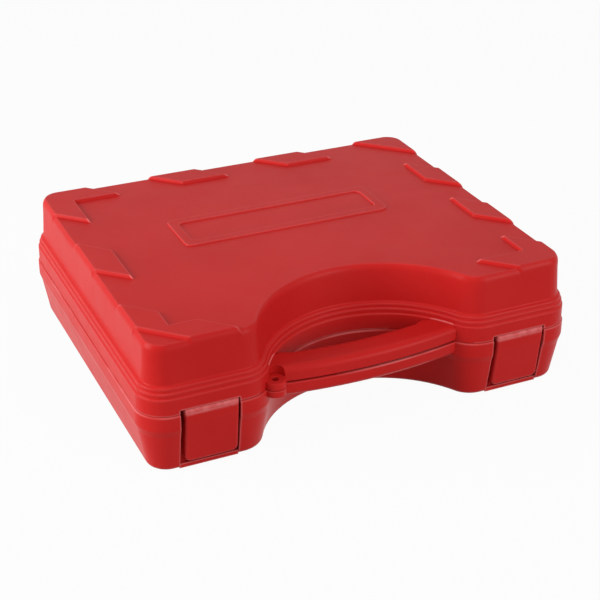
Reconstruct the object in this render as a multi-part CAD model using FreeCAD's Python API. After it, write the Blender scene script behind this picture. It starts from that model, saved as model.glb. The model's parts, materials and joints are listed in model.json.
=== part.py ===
import FreeCAD, Part
import math
import os

V = FreeCAD.Vector

# Case plan, measured round the rim
case_width = 320.0
case_depth = 269.0
corner_radius = 20.6
scoop_depth = 53.0
scoop_radius = 78.0
scoop_shoulder = 25.0

# Case heights and walls
case_height = 93.0
parting_height = 45.0
parting_gap = 0.6
wall = 2.2
land_width = 7.0
ledge_width = 5.0
ring_reach = 16.0

# Lid profile: heights, and insets from the rim
skirt_height = 11.7
skirt_draft = 0.3
step_width = 0.9
step_drop = 0.6
step_height = 3.8
shoulder_inset = 2.6
shoulder_drop = 1.3
shoulder_height = 8.0
lid_wall_inset = 5.4
lid_wall_draft = 1.6
top_edge_radius = 8.0
top_edge_turn = 45.0

# Base profile: heights, and insets from the rim
rim_band = 10.7
rim_chamfer_drop = 5.0
base_wall_inset = 5.5
base_wall_draft = 2.3
bottom_edge_radius = 5.0

# Raised pads and label frame on the lid
pad_band = 28.5
pad_rise = 2.2
pad_slope = 0.5
pad_corner_leg = 35.0
left_leg_more = 2.5
front_right_leg = 25.5
back_right_cut = 54.5
front_left_cut = 44.5
chevron_width = 32.0
back_pad_width = 36.0
side_pad_width = 32.5
left_pad_width = 43.0
label_width = 160.0
label_depth = 45.0
label_ridge = 6.5
label_rise = 1.0
label_radius = 5.0
label_from_middle = 21.5

# Carrying handle, split along the parting
handle_setback = 4.0
handle_bow_radius = 355.0
handle_depth = 22.0
handle_rise = 11.5
handle_drop = 11.0
handle_half_span = 84.0
handle_round = 6.0
grip_taper = 0.6
web_from_middle = 52.0
web_setback = 21.5

# Padlock lug at the left root of the handle
lug_from_middle = 67.0
lug_setback = 8.5
lug_radius = 7.5
lug_thickness = 5.2
padlock_hole = 5.0

# Fold-down latches
latch_from_side = 45.0
latch_width = 37.0
latch_side_gap = 2.0
latch_recess = 10.5
latch_clearance = 0.6
latch_lift = 3.5
latch_head = 2.2
latch_tilt = 4.5
latch_edge = 2.0
crease_gap = 0.4

# Rear hinges
hinge_from_side = 75.0
knuckle_length = 15.0
knuckle_gap = 0.5
knuckle_radius = 5.0
knuckle_clearance = 0.4
hinge_setback = 1.0
hinge_pin = 3.0
pin_press = 0.01
pin_running = 0.05

# Tray and lid liner
sheet = 2.0
insert_clearance = 0.3
pocket_clearance = 0.4
socket_pocket_depth = 20.0
deep_pocket_depth = 36.0
tray_margin = 14.5
liner_drop = 13.0
liner_draft = 2.0

# Socket set, half inch square drive
drive = 12.7
drive_play = 0.15
drive_length = 15.0
socket_wall_factor = 1.29
socket_wall_extra = 2.1
drive_end_diameter = 22.0
socket_sizes = [
    [10, 11, 12, 13, 14, 15, 16, 17],
    [18, 19, 20, 21, 22, 24],
    [27, 30, 32],
]
socket_length = 38.0
big_socket_length = 46.0
big_socket_from = 24
socket_chamfer = 0.8
hex_play = 0.2
plug_sizes = [16, 21]
plug_socket_drop = 27.0
plug_rubber_length = 14.0
plug_rubber_wall = 2.4
plug_from_front = 44.0
plug_from_side = 54.0

# Extension bars
bar_end_radius = 11.0
bar_end_length = 27.0
bar_shaft_radius = 6.5
bar_collar_radius = 9.0
bar_collar_length = 12.0
long_bar = 250.0
short_bar = 125.0
short_bar_from_side = 28.0
short_bar_from_front = 24.0
mouth_room = 16.0
ball_radius = 2.4
ball_stand = 0.8

# Ratchet handle
ratchet_length = 255.0
head_radius = 19.5
head_thickness = 20.0
shank_radius = 6.8
tang_radius = 5.5
grip_length = 112.0
grip_radius = 13.5
gear_radius = 12.4
gear_teeth = 32
tooth_depth = 1.1
gear_clearance = 0.35
journal_radius = 9.6
journal_clearance = 0.08
gear_floor = 3.2
cover_radius = 17.2
cover_thickness = 2.2
pawl_thickness = 3.6
pawl_half_angle = 30.0
pawl_play_angle = 8.0
lever_radius = 9.0
lever_reach = 18.5
lever_thickness = 3.2
lever_half_width = 3.6
lever_swing = 18.0
button_radius = 4.2
button_clearance = 0.06
button_stand = 4.0
button_travel = 2.5
stem_radius = 2.2
stem_groove = 1.2
screw_radius = 1.2
screw_head_radius = 2.1
screw_length = 7.0


# Frame: origin on the ground under the middle of the whole object
hinge_reach = hinge_setback + knuckle_radius
rim_front = -(case_depth + hinge_reach) / 2
rim_back = rim_front + case_depth
rim_middle = (rim_front + rim_back) / 2
half_width = case_width / 2
lid_foot = parting_height + parting_gap / 2
base_top = parting_height - parting_gap / 2
tray_top = base_top
liner_height = case_height - liner_drop
over = 1.0


def line(a, b):
    return Part.LineSegment(a, b).toShape()


def box(x0, x1, y0, y1, z0, z1):
    return Part.makeBox(x1 - x0, y1 - y0, z1 - z0, V(x0, y0, z0))


def post(radius, x, y, z0, z1):
    return Part.makeCylinder(radius, z1 - z0, V(x, y, z0))


def rod(radius, x0, x1, y, z):
    return Part.makeCylinder(radius, x1 - x0, V(x0, y, z), V(1, 0, 0))


def join(first, *others):
    return first.multiFuse(list(others)).removeSplitter()


def solid(shape):
    return shape.Solids[0] if len(shape.Solids) == 1 else shape


def plan_arc(centre, radius, start, end, z):
    """Arc in plan about centre, from one angle to another in degrees."""
    points = []
    for angle in (start, (start + end) / 2, end):
        turn = math.radians(angle)
        points.append(V(centre[0] + radius * math.cos(turn), centre[1] + radius * math.sin(turn), z))
    return Part.Arc(*points).toShape()


def chain(edges_or_arcs, start):
    """Closed wire through a run of arcs, with straight edges between their ends."""
    edges = []
    last = start
    for edge in edges_or_arcs:
        first = edge.valueAt(edge.FirstParameter)
        if (first - last).Length > 1e-6:
            edges.append(line(last, first))
        edges.append(edge)
        last = edge.valueAt(edge.LastParameter)
    if (last - start).Length > 1e-6:
        edges.append(line(last, start))
    return Part.Wire(edges)


def case_outline(inset, z):
    """Rounded rectangle with the hand scoop in its front, moved in from the rim."""
    scoop_y = rim_front + scoop_depth - scoop_radius
    shoulder_y = rim_front + scoop_shoulder
    rise = shoulder_y - scoop_y
    shoulder_x = math.sqrt((scoop_radius + scoop_shoulder) ** 2 - rise ** 2)
    turn = math.degrees(math.atan2(rise, shoulder_x))
    corner_x = half_width - corner_radius
    corner_back = rim_back - corner_radius
    corner_front = rim_front + corner_radius
    corner = corner_radius - inset
    shoulder = scoop_shoulder - inset
    arcs = [
        plan_arc((-corner_x, corner_back), corner, 90, 180, z),
        plan_arc((-corner_x, corner_front), corner, 180, 270, z),
        plan_arc((-shoulder_x, shoulder_y), shoulder, 270, 360 - turn, z),
        plan_arc((0, scoop_y), scoop_radius + inset, 180 - turn, turn, z),
        plan_arc((shoulder_x, shoulder_y), shoulder, 180 + turn, 270, z),
        plan_arc((corner_x, corner_front), corner, 270, 360, z),
        plan_arc((corner_x, corner_back), corner, 0, 90, z),
    ]
    return chain(arcs, V(0, rim_back - inset, z))


def case_plate(inset, z0, z1):
    return Part.Face(case_outline(inset, z0)).extrude(V(0, 0, z1 - z0))


def section_wire(steps, place):
    """Closed section: each step is a point, or a pair (middle, end) for an arc."""
    start = place(*steps[0])
    edges = []
    last = start
    for step in steps[1:] + steps[:1]:
        if isinstance(step[0], tuple):
            middle, end = place(*step[0]), place(*step[1])
            edges.append(Part.Arc(last, middle, end).toShape())
        else:
            end = place(*step)
            edges.append(line(last, end))
        last = end
    return Part.Wire(edges)


def case_ring(steps):
    """Section of (inset, height) steps swept round the rim."""
    section = section_wire(steps, lambda inset, z: V(0, rim_back - inset, z))
    pipe = Part.BRepOffsetAPI.MakePipeShell(case_outline(0, 0))
    pipe.setBiNormalMode(V(0, 0, 1))
    pipe.add(section)
    pipe.build()
    pipe.makeSolid()
    return pipe.shape()


def round_corner(inset, z, radius, inset_way, z_way):
    """Middle and end of a quarter arc that turns a wall into a flat."""
    near = 1 - math.sqrt(0.5)
    middle = (inset + inset_way * radius * near, z + z_way * radius * math.sqrt(0.5))
    return middle, (inset + inset_way * radius, z + z_way * radius)


# Outer contour of the lid, from the parting up to the flat top
skirt_top = parting_height + skirt_height
lid_wall_foot = skirt_top + shoulder_height
low_step = skirt_draft + step_width
high_step = low_step + step_width
lid_wall_head = lid_wall_inset + lid_wall_draft


def top_edge(turn):
    """How far the lid's top edge has come in and up at this turn of its arc."""
    angle = math.radians(turn)
    return top_edge_radius * (1 - math.cos(angle)), top_edge_radius * math.sin(angle)


top_edge_run, top_edge_drop = top_edge(top_edge_turn)


def lid_contour(top):
    half_run, half_rise = top_edge(top_edge_turn / 2)
    edge_foot = top - top_edge_drop
    return [
        (0.0, lid_foot),
        (skirt_draft, skirt_top),
        (low_step, skirt_top + step_drop),
        (low_step, skirt_top + step_height),
        (high_step, skirt_top + step_height + step_drop),
        (shoulder_inset, lid_wall_foot - shoulder_drop),
        (lid_wall_inset, lid_wall_foot),
        (lid_wall_head, edge_foot),
        ((lid_wall_head + half_run, edge_foot + half_rise), (lid_wall_head + top_edge_run, top)),
        (ring_reach, top),
    ]


def lid_wall_ring():
    inner_top = case_height - wall
    ledge = land_width + ledge_width
    foot = lid_foot + 2 * wall
    inner = [
        (ring_reach, inner_top),
        (lid_wall_head + wall + top_edge_run, inner_top),
        (lid_wall_head + wall, case_height - top_edge_drop),
        (lid_wall_inset + wall, lid_wall_foot),
        (high_step + wall, skirt_top),
        (skirt_draft + wall, foot),
        (ledge, foot),
        (ledge, lid_foot + wall),
        (land_width, lid_foot + wall),
        (land_width, lid_foot),
    ]
    return case_ring(lid_contour(case_height) + inner)


# Outer contour of the base, from the parting down to the flat bottom
base_wall_foot = base_wall_inset + base_wall_draft


def base_contour():
    band_foot = base_top - rim_band
    return [
        (0.0, base_top),
        (0.0, band_foot),
        (base_wall_inset, band_foot - rim_chamfer_drop),
        (base_wall_foot, bottom_edge_radius),
        round_corner(base_wall_foot, bottom_edge_radius, bottom_edge_radius, 1, -1),
        (ring_reach, 0.0),
    ]


def base_wall_ring():
    ledge = land_width + ledge_width
    band_foot = base_top - rim_band
    inner = [
        (ring_reach, wall),
        (base_wall_foot + bottom_edge_radius, wall),
        (base_wall_foot + wall, bottom_edge_radius),
        (base_wall_inset + wall, band_foot - rim_chamfer_drop),
        (wall, band_foot),
        (wall, base_top - 2 * wall),
        (ledge, base_top - 2 * wall),
        (ledge, base_top - wall),
        (land_width, base_top - wall),
        (land_width, base_top),
    ]
    return case_ring(base_contour() + inner)


def base_block():
    """The base filled solid, for trimming what is moulded on it."""
    rim = case_ring(base_contour() + [(ring_reach, base_top)])
    return join(rim, case_plate(ring_reach - over, 0, base_top))


# Carrying handle: a bowed bar across the scoop, one half on each shell
handle_axis_y = rim_front + handle_setback + handle_bow_radius
handle_inner_radius = handle_bow_radius - handle_depth


def handle_half(z_split, z_end, taper):
    """Half of the handle, from the split to its rounded back at z_end."""
    way = 1 if z_end > z_split else -1
    inner = handle_inner_radius + taper
    outer = handle_bow_radius - taper
    knee = z_end - way * handle_round
    near = handle_round * (1 - math.sqrt(0.5))
    steps = [
        (inner, z_split),
        (inner, knee),
        ((inner + near, z_end - way * near), (inner + handle_round, z_end)),
        (outer - handle_round, z_end),
        ((outer - near, z_end - way * near), (outer, knee)),
        (outer, z_split),
    ]
    swing = math.degrees(math.asin(handle_half_span / handle_bow_radius))
    section = Part.Face(section_wire(steps, lambda r, z: V(0, handle_axis_y - r, z)))
    axis = V(0, handle_axis_y, 0)
    section.rotate(axis, V(0, 0, 1), -swing)
    bar = section.revolve(axis, V(0, 0, 1), 2 * swing)
    low = min(z_split, z_end)
    high = max(z_split, z_end)
    web_y = rim_front + web_setback
    scoop_end = rim_front + scoop_depth
    right_web = box(web_from_middle, handle_half_span, web_y, scoop_end, low, high)
    left_web = box(-handle_half_span, -web_from_middle, web_y, scoop_end, low, high)
    return join(bar, left_web, right_web).cut(case_plate(wall, low - over, high + over))


lug_x = -lug_from_middle
lug_y = rim_front + lug_setback


def with_lug(handle, z0, z1, notch_end):
    """Adds the padlock ear and clears the handle above or below it."""
    ear = post(lug_radius, lug_x, lug_y, z0, z1)
    ear = ear.cut(case_plate(wall, z0 - over, z1 + over))
    notch_low, notch_high = (z1, notch_end) if notch_end > z1 else (notch_end, z0)
    notch = post(lug_radius, lug_x, lug_y, notch_low, notch_high)
    return join(handle.cut(notch), ear)


def padlock_drill():
    return post(padlock_hole / 2, lug_x, lug_y, 0, case_height)


# Rear hinges: knuckles on both shells round a steel pin
hinge_y = rim_back + hinge_setback
hinge_step = knuckle_length + knuckle_gap
hinge_sides = (hinge_from_side - half_width, half_width - hinge_from_side)


def knuckle_spans(offsets):
    spans = []
    for middle in hinge_sides:
        for offset in offsets:
            centre = middle + offset * hinge_step
            spans.append((centre - knuckle_length / 2, centre + knuckle_length / 2))
    return spans


base_knuckles = knuckle_spans((-1, 1))
lid_knuckles = knuckle_spans((0,))


def knuckle(span, root_z, root_y, bore):
    """One knuckle with the gusset that carries it from the rim."""
    x0, x1 = span
    barrel = rod(knuckle_radius, x0, x1, hinge_y, parting_height)
    way = 1 if root_z > parting_height else -1
    corners = [
        (root_y - wall, parting_height + way * parting_gap),
        (root_y - wall, root_z),
        (root_y, root_z),
        (hinge_y + knuckle_radius * 0.96, parting_height + way * knuckle_radius * 0.28),
        (hinge_y, parting_height),
    ]
    points = [V(x0, y, z) for y, z in corners + corners[:1]]
    gusset = Part.Face(Part.makePolygon(points)).extrude(V(x1 - x0, 0, 0))
    drill = rod(bore, x0 - over, x1 + over, hinge_y, parting_height)
    return join(barrel, gusset).cut(drill)


def knuckle_room(span):
    play = knuckle_gap / 2 + knuckle_clearance
    radius = knuckle_radius + knuckle_clearance
    return rod(radius, span[0] - play, span[1] + play, hinge_y, parting_height)


def hinge_backing(z0, z1):
    """Thick part of the rim behind the knuckles."""
    reach = 1.5 * hinge_step + wall
    blocks = []
    for middle in hinge_sides:
        blocks.append(box(middle - reach, middle + reach, rim_back - land_width, rim_back - wall, z0, z1))
    return blocks


def hinge_pins():
    length = 3 * knuckle_length + 2 * knuckle_gap
    pins = []
    for middle in hinge_sides:
        pins.append(rod(hinge_pin / 2, middle - length / 2, middle + length / 2, hinge_y, parting_height))
    return Part.makeCompound(pins)


# Latch recesses in the base, one under each latch
latch_middles = (latch_from_side - half_width, half_width - latch_from_side)
recess_half = latch_width / 2 + latch_side_gap
recess_back = rim_front + latch_recess


def latch_room(middle, z0, z1, grow=0.0):
    return box(middle - recess_half - grow, middle + recess_half + grow,
               rim_front - over, recess_back + grow, z0, z1)


def base_shell():
    block = base_block()
    tubs = []
    for middle in latch_middles:
        tubs.append(latch_room(middle, 0, base_top, wall).common(block))
    handle = handle_half(base_top, parting_height - handle_drop, grip_taper)
    lug_low = base_top - lug_thickness
    handle = with_lug(handle, lug_low, base_top, parting_height - handle_drop - over)
    backing = hinge_backing(base_top - rim_band, base_top)
    knuckles = [knuckle(span, base_top - rim_band, rim_back, hinge_pin / 2 + pin_press)
                for span in base_knuckles]
    shell = join(base_wall_ring(), case_plate(ring_reach - over, 0, wall), handle, *tubs, *backing)
    cuts = [latch_room(middle, -over, base_top + over) for middle in latch_middles]
    cuts += [knuckle_room(span) for span in lid_knuckles]
    cuts.append(padlock_drill())
    pin_drill = [rod(hinge_pin / 2 + pin_press, span[0], span[1], hinge_y, parting_height)
                 for span in base_knuckles]
    shell = shell.cut(Part.makeCompound(cuts))
    return solid(join(shell, *knuckles).cut(Part.makeCompound(pin_drill)))


# Raised pads: a border band cut by evenly spaced diagonals
def spaced(start, end, count, width):
    gap = (end - start - count * width) / (count + 1)
    firsts = [start + gap + i * (width + gap) for i in range(count)]
    return [(first, first + width) for first in firsts]


def pad_outlines():
    """Plan polygons of the pads; a diagonal is named by x + y from the case's middle."""
    out_x = half_width + over
    out_y = case_depth / 2 + over
    in_x = half_width - pad_band
    in_y = case_depth / 2 - pad_band
    back_left = (case_depth - case_width) / 2
    front_right = -back_left
    back_right = (case_depth + case_width) / 2 - back_right_cut
    chevron_low = -(case_depth + case_width) / 2 + front_left_cut
    chevron_high = chevron_low + chevron_width
    left_end = back_left - pad_corner_leg - left_leg_more
    back_start = back_left + pad_corner_leg
    front_end, right_start = front_right - pad_corner_leg, front_right + front_right_leg
    pads = [
        [(-out_x, left_end + out_x), (-in_x, left_end + in_x), (-in_x, in_y),
         (back_start - in_y, in_y), (back_start - out_y, out_y), (-out_x, out_y)],
        [(back_right - out_y, out_y), (out_x, back_right - out_x), (out_x, out_y)],
        [(in_x, right_start - in_x), (out_x, right_start - out_x), (out_x, -out_y),
         (front_end + out_y, -out_y), (front_end + in_y, -in_y), (in_x, -in_y)],
        [(-out_x, chevron_high + out_x), (-in_x, chevron_high + in_x), (-in_x, -in_y),
         (chevron_high + in_y, -in_y), (chevron_high + out_y, -out_y),
         (chevron_low + out_y, -out_y), (-out_x, chevron_low + out_x)],
    ]
    for a, b in spaced(back_start, back_right, 2, back_pad_width):
        pads.append([(a - in_y, in_y), (b - in_y, in_y), (b - out_y, out_y), (a - out_y, out_y)])
    for a, b in spaced(right_start, back_right, 2, side_pad_width):
        pads.append([(in_x, a - in_x), (out_x, a - out_x), (out_x, b - out_x), (in_x, b - in_x)])
    for a, b in spaced(chevron_high, left_end, 1, left_pad_width):
        pads.append([(-in_x, a + in_x), (-in_x, b + in_x), (-out_x, b + out_x), (-out_x, a + out_x)])
    return pads


def bevelled(outline, z, rise, root):
    """Raised island with sloping sides, with its root below z."""
    foot = outline.makeOffset2D((rise + root) * pad_slope, 2)
    foot.translate(V(0, 0, z - root))
    head = outline.copy()
    head.translate(V(0, 0, z + rise))
    return Part.makeLoft([foot, head], True, True)


def lid_pads():
    high = case_height + pad_rise
    inside = [(ring_reach, case_height - wall / 2), (lid_wall_head, case_height - top_edge_drop)]
    contour = lid_contour(high)[-3:]
    skin = case_ring(contour + inside)
    skin = join(skin, case_plate(ring_reach - over, case_height - wall / 2, high))
    pads = []
    for corners in pad_outlines():
        points = [V(x, y + rim_middle, 0) for x, y in corners]
        outline = Part.makePolygon(points + points[:1])
        pads.append(bevelled(outline, case_height, pad_rise, top_edge_drop).common(skin))
    return pads


def rounded_rectangle(width, depth, radius, middle_y):
    x = width / 2 - radius
    y = depth / 2 - radius
    arcs = [
        plan_arc((-x, middle_y + y), radius, 90, 180, 0),
        plan_arc((-x, middle_y - y), radius, 180, 270, 0),
        plan_arc((x, middle_y - y), radius, 270, 360, 0),
        plan_arc((x, middle_y + y), radius, 0, 90, 0),
    ]
    return chain(arcs, V(0, middle_y + depth / 2, 0))


def label_frame():
    """Raised ridge round a bare label field."""
    middle = rim_middle + label_from_middle
    outer = rounded_rectangle(label_width, label_depth, label_radius, middle)
    inner_width = label_width - 2 * label_ridge
    inner_depth = label_depth - 2 * label_ridge
    inner = rounded_rectangle(inner_width, inner_depth, label_radius - label_rise, middle)
    field = Part.Face(inner).extrude(V(0, 0, wall))
    field.translate(V(0, 0, case_height))
    return bevelled(outer, case_height, label_rise, wall / 2).cut(field)


def lid_shell():
    handle = handle_half(lid_foot, parting_height + handle_rise, 0.0)
    lug_high = lid_foot + lug_thickness
    handle = with_lug(handle, lid_foot, lug_high, parting_height + handle_rise + over)
    top = case_plate(ring_reach - over, case_height - wall, case_height)
    backing = hinge_backing(lid_foot, skirt_top)
    shell = join(lid_wall_ring(), top, handle, *backing)
    crease = parting_height + latch_head + crease_gap
    cuts = [latch_room(middle, 0, crease) for middle in latch_middles]
    cuts += [knuckle_room(span) for span in base_knuckles]
    cuts.append(padlock_drill())
    shell = shell.cut(Part.makeCompound(cuts))
    root_y = rim_back - skirt_draft
    knuckles = [knuckle(span, skirt_top - skirt_draft, root_y, hinge_pin / 2 + pin_running)
                for span in lid_knuckles]
    pin_drill = [rod(hinge_pin / 2 + pin_running, span[0], span[1], hinge_y, parting_height)
                 for span in lid_knuckles]
    shell = join(shell, *knuckles).cut(Part.makeCompound(pin_drill))
    return solid(join(shell, label_frame(), *lid_pads()))


def latch(middle):
    """Flap that hangs from the crease and folds down into its recess."""
    head = parting_height + latch_head
    inner = recess_back - latch_clearance
    corners = [
        (rim_front, head),
        (rim_front + latch_tilt, latch_lift),
        (inner, latch_lift),
        (inner, head),
    ]
    x0 = middle - latch_width / 2
    points = [V(x0, y, z) for y, z in corners + corners[:1]]
    flap = Part.Face(Part.makePolygon(points)).extrude(V(latch_width, 0, 0))
    rounded = []
    for edge in flap.Edges:
        box_ = edge.BoundBox
        is_front = box_.YMax < inner - over
        is_foot = box_.ZMax < latch_lift + over
        is_top = box_.ZMin > head - over
        if (is_front or is_foot) and not is_top:
            rounded.append(edge)
    return solid(flap.makeFillet(latch_edge, rounded))


# Where each tool stands or lies in the tray
inner_side = half_width - tray_margin
inner_back = rim_back - tray_margin
inner_front = rim_front + scoop_depth + tray_margin


def mouth_diameter(size):
    return socket_wall_factor * size + socket_wall_extra


def drive_diameter(size):
    return (drive_end_diameter + max(drive_end_diameter, mouth_diameter(size))) / 2


def widest(size):
    return max(mouth_diameter(size), drive_diameter(size))


def spread(widths, low, high):
    """Centres of things of these widths with equal gaps between low and high."""
    gap = (high - low - sum(widths)) / (len(widths) + 1)
    centres = []
    edge = low
    for width in widths:
        centres.append(edge + gap + width / 2)
        edge += gap + width
    return centres


bands = [widest(max(row)) for row in reversed(socket_sizes)]
bands += [2 * bar_end_radius, 2 * head_radius]
band_centres = spread(bands, inner_front, inner_back)
row_centres = list(reversed(band_centres[:len(socket_sizes)]))
long_bar_y, ratchet_y = band_centres[-2:]

short_bar_x = -half_width + short_bar_from_side
row_ends = [(-inner_side, inner_side)]
row_ends += [(short_bar_x + bar_end_radius, inner_side)] * (len(socket_sizes) - 1)

socket_places = {}
for row, y, ends in zip(socket_sizes, row_centres, row_ends):
    for size, x in zip(row, spread([widest(size) for size in row], *ends)):
        socket_places[size] = (x, y)

plug_y = rim_front + plug_from_front
plug_places = {
    plug_sizes[0]: (-half_width + plug_from_side, plug_y),
    plug_sizes[1]: (half_width - plug_from_side, plug_y),
}
socket_floor = tray_top - socket_pocket_depth
plug_floor = tray_top - deep_pocket_depth
plug_socket_length = case_height - plug_socket_drop


def socket_solid(size, length, x, y, floor):
    """Six-sided socket standing on its drive end, mouth up."""
    mouth = mouth_diameter(size) / 2
    foot = drive_diameter(size) / 2
    shoulder = drive_length + abs(mouth - foot)
    top = floor + length
    profile = [
        (0, floor),
        (foot - socket_chamfer, floor),
        (foot, floor + socket_chamfer),
        (foot, floor + drive_length),
        (mouth, floor + shoulder + socket_chamfer),
        (mouth, top - socket_chamfer),
        (mouth - socket_chamfer, top),
        (0, top),
    ]
    points = [V(x + r, y, z) for r, z in profile]
    body = Part.Face(Part.makePolygon(points + points[:1])).revolve(V(x, y, 0), V(0, 0, 1), 360)
    side = drive + drive_play
    square = box(x - side / 2, x + side / 2, y - side / 2, y + side / 2,
                 floor - over, floor + drive_length)
    corner = (size + hex_play) / math.sqrt(3)
    turns = [math.radians(60 * i) for i in range(7)]
    hexagon = Part.makePolygon([V(x + corner * math.cos(t), y + corner * math.sin(t),
                                  floor + drive_length - 0.01) for t in turns])
    hexagon = Part.Face(hexagon).extrude(V(0, 0, length))
    return solid(body.cut(square).cut(hexagon))


def socket_height(size):
    return big_socket_length if size >= big_socket_from else socket_length


def plug_rubber(size, x, y):
    """Rubber sleeve that grips the plug, pressed against the hexagon's flats."""
    outer = size / 2
    z0 = plug_floor + drive_length
    z1 = z0 + plug_rubber_length
    sleeve = post(outer, x, y, z0, z1)
    return solid(sleeve.cut(post(outer - plug_rubber_wall, x, y, z0 - over, z1 + over)))


# Extension bars lie on their axis at the tray's face
bar_z = tray_top + insert_clearance
bar_shoulder = bar_end_radius - bar_shaft_radius


def drive_stub(x0, x1, y, z):
    return box(x0, x1, y - drive / 2, y + drive / 2, z - drive / 2, z + drive / 2)


def detent_ball(x, y, z):
    """Ball set in the top of a drive square."""
    return Part.makeSphere(ball_radius, V(x, y, z + drive / 2 + ball_stand - ball_radius))


def extension_bar(length, y, z):
    """Bar along X with its female end at the origin of X."""
    neck = bar_end_length + bar_shoulder
    collar = length - drive_length - bar_collar_length
    profile = [
        (0, 0),
        (0, bar_end_radius - socket_chamfer),
        (socket_chamfer, bar_end_radius),
        (bar_end_length, bar_end_radius),
        (neck, bar_shaft_radius),
        (collar - bar_collar_radius + bar_shaft_radius, bar_shaft_radius),
        (collar, bar_collar_radius),
        (collar + bar_collar_length, bar_collar_radius),
        (collar + bar_collar_length, 0),
    ]
    points = [V(x, y, z + r) for x, r in profile]
    body = Part.Face(Part.makePolygon(points + points[:1])).revolve(V(0, y, z), V(1, 0, 0), 360)
    stub = drive_stub(length - drive_length - over, length, y, z)
    side = drive + drive_play
    hole = box(-over, drive_length + over, y - side / 2, y + side / 2, z - side / 2, z + side / 2)
    body = join(body.cut(hole), stub)
    ball = detent_ball(length - drive_length / 2, y, z)
    return solid(body.cut(ball)), ball


def placed_bar(length, x, y, turn):
    pieces = extension_bar(length, 0, 0)
    for piece in pieces:
        piece.rotate(V(0, 0, 0), V(0, 0, 1), turn)
        piece.translate(V(x, y, bar_z))
    return pieces


long_bar_x = -(long_bar - mouth_room) / 2
short_bar_y = rim_front + short_bar_from_front


# Ratchet: forged body along X, head axis upright, drive square down
ratchet_x = -ratchet_length / 2 + head_radius
ratchet_end = ratchet_x - head_radius + ratchet_length
ratchet_z = tray_top + insert_clearance
head_low = ratchet_z - head_thickness / 2
head_high = ratchet_z + head_thickness / 2
gear_low = head_low + gear_floor
cover_low = head_high - cover_thickness
chamber_radius = gear_radius + gear_clearance + pawl_thickness + gear_clearance
grip_start = ratchet_end - grip_length
neck_radius = head_thickness / 2 - socket_chamfer


def head_post(radius, z0, z1):
    return post(radius, ratchet_x, ratchet_y, z0, z1)


def head_sector(inner, outer, start, end, z0, z1):
    """Part of a ring about the head's axis, between two angles from +X."""
    points = [V(ratchet_x + r, ratchet_y, z)
              for r, z in ((inner, z0), (outer, z0), (outer, z1), (inner, z1), (inner, z0))]
    face = Part.Face(Part.makePolygon(points))
    axis = V(ratchet_x, ratchet_y, 0)
    face.rotate(axis, V(0, 0, 1), start)
    return face.revolve(axis, V(0, 0, 1), end - start)


def along_handle(profile):
    """Turned shape about the handle's axis from (x, radius) points."""
    points = [V(x, ratchet_y, ratchet_z + r) for x, r in profile]
    face = Part.Face(Part.makePolygon(points + points[:1]))
    return face.revolve(V(0, ratchet_y, ratchet_z), V(1, 0, 0), 360)


pawl_inner = gear_radius + gear_clearance
pawl_outer = pawl_inner + pawl_thickness
slot_radius = (pawl_inner + pawl_outer) / 2
screw_ring = (cover_radius + gear_radius) / 2
screw_turns = (120.0, 240.0)


def screw_place(turn):
    angle = math.radians(turn)
    return ratchet_x + screw_ring * math.cos(angle), ratchet_y + screw_ring * math.sin(angle)


def ratchet_body():
    head = head_post(head_radius, head_low, head_high)
    rims = [edge for edge in head.Edges if edge.BoundBox.ZLength < over]
    head = head.makeChamfer(socket_chamfer, rims)
    shank = along_handle([
        (ratchet_x + cover_radius, 0),
        (ratchet_x + cover_radius, neck_radius),
        (ratchet_x + 2 * head_radius, shank_radius),
        (grip_start, shank_radius),
        (grip_start, tang_radius),
        (ratchet_end - grip_radius, tang_radius),
        (ratchet_end - grip_radius, 0),
    ])
    cavity = [
        head_post(gear_radius + gear_clearance, gear_low, head_high + over),
        head_post(cover_radius + pin_running, cover_low, head_high + over),
        head_post(journal_radius + journal_clearance, head_low - over, gear_low + over),
    ]
    half = pawl_half_angle + pawl_play_angle
    cavity.append(head_sector(journal_radius, chamber_radius, -half, half, gear_low, head_high + over))
    for turn in screw_turns:
        cavity.append(post(screw_radius, *screw_place(turn), head_high - screw_length, head_high))
    return solid(join(head, shank).cut(Part.makeCompound(cavity)))


def ratchet_grip():
    waist = grip_radius * 0.8
    grip = along_handle([
        (grip_start, tang_radius),
        (grip_start, grip_radius * 0.75),
        (grip_start + grip_radius * 0.3, grip_radius * 0.9),
        (grip_start + grip_length * 0.3, waist),
        (grip_start + grip_length * 0.65, grip_radius),
        (ratchet_end - grip_radius * 0.3, grip_radius * 0.9),
        (ratchet_end, grip_radius * 0.6),
        (ratchet_end, 0),
        (ratchet_end - grip_radius, 0),
        (ratchet_end - grip_radius, tang_radius),
    ])
    return solid(grip)


def drive_gear():
    """Toothed drive with its journal and square, drilled for the release button."""
    points = []
    for i in range(gear_teeth):
        for share, radius in ((0.0, gear_radius - tooth_depth), (0.5, gear_radius)):
            turn = 2 * math.pi * (i + share) / gear_teeth
            points.append(V(ratchet_x + radius * math.cos(turn), ratchet_y + radius * math.sin(turn), 0))
    wheel = Part.Face(Part.makePolygon(points + points[:1]))
    wheel.translate(V(0, 0, gear_low + gear_clearance))
    wheel = wheel.extrude(V(0, 0, cover_low - gear_low - 2 * gear_clearance))
    journal = head_post(journal_radius, head_low, gear_low + over)
    half = drive / 2
    stub = box(ratchet_x - half, ratchet_x + half, ratchet_y - half, ratchet_y + half,
               head_low - drive_length, head_low + over)
    bore = head_post(button_radius + button_clearance, button_low - button_travel - over, head_high)
    stem_bore = head_post(stem_radius + button_clearance, stem_low - button_travel - over, gear_low)
    ball_hole = Part.makeCylinder(ball_radius + button_clearance, drive, V(ratchet_x, ratchet_y, ball_z),
                                  V(0, -1, 0))
    return solid(join(wheel, journal, stub).cut(Part.makeCompound([bore, stem_bore, ball_hole])))


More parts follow.
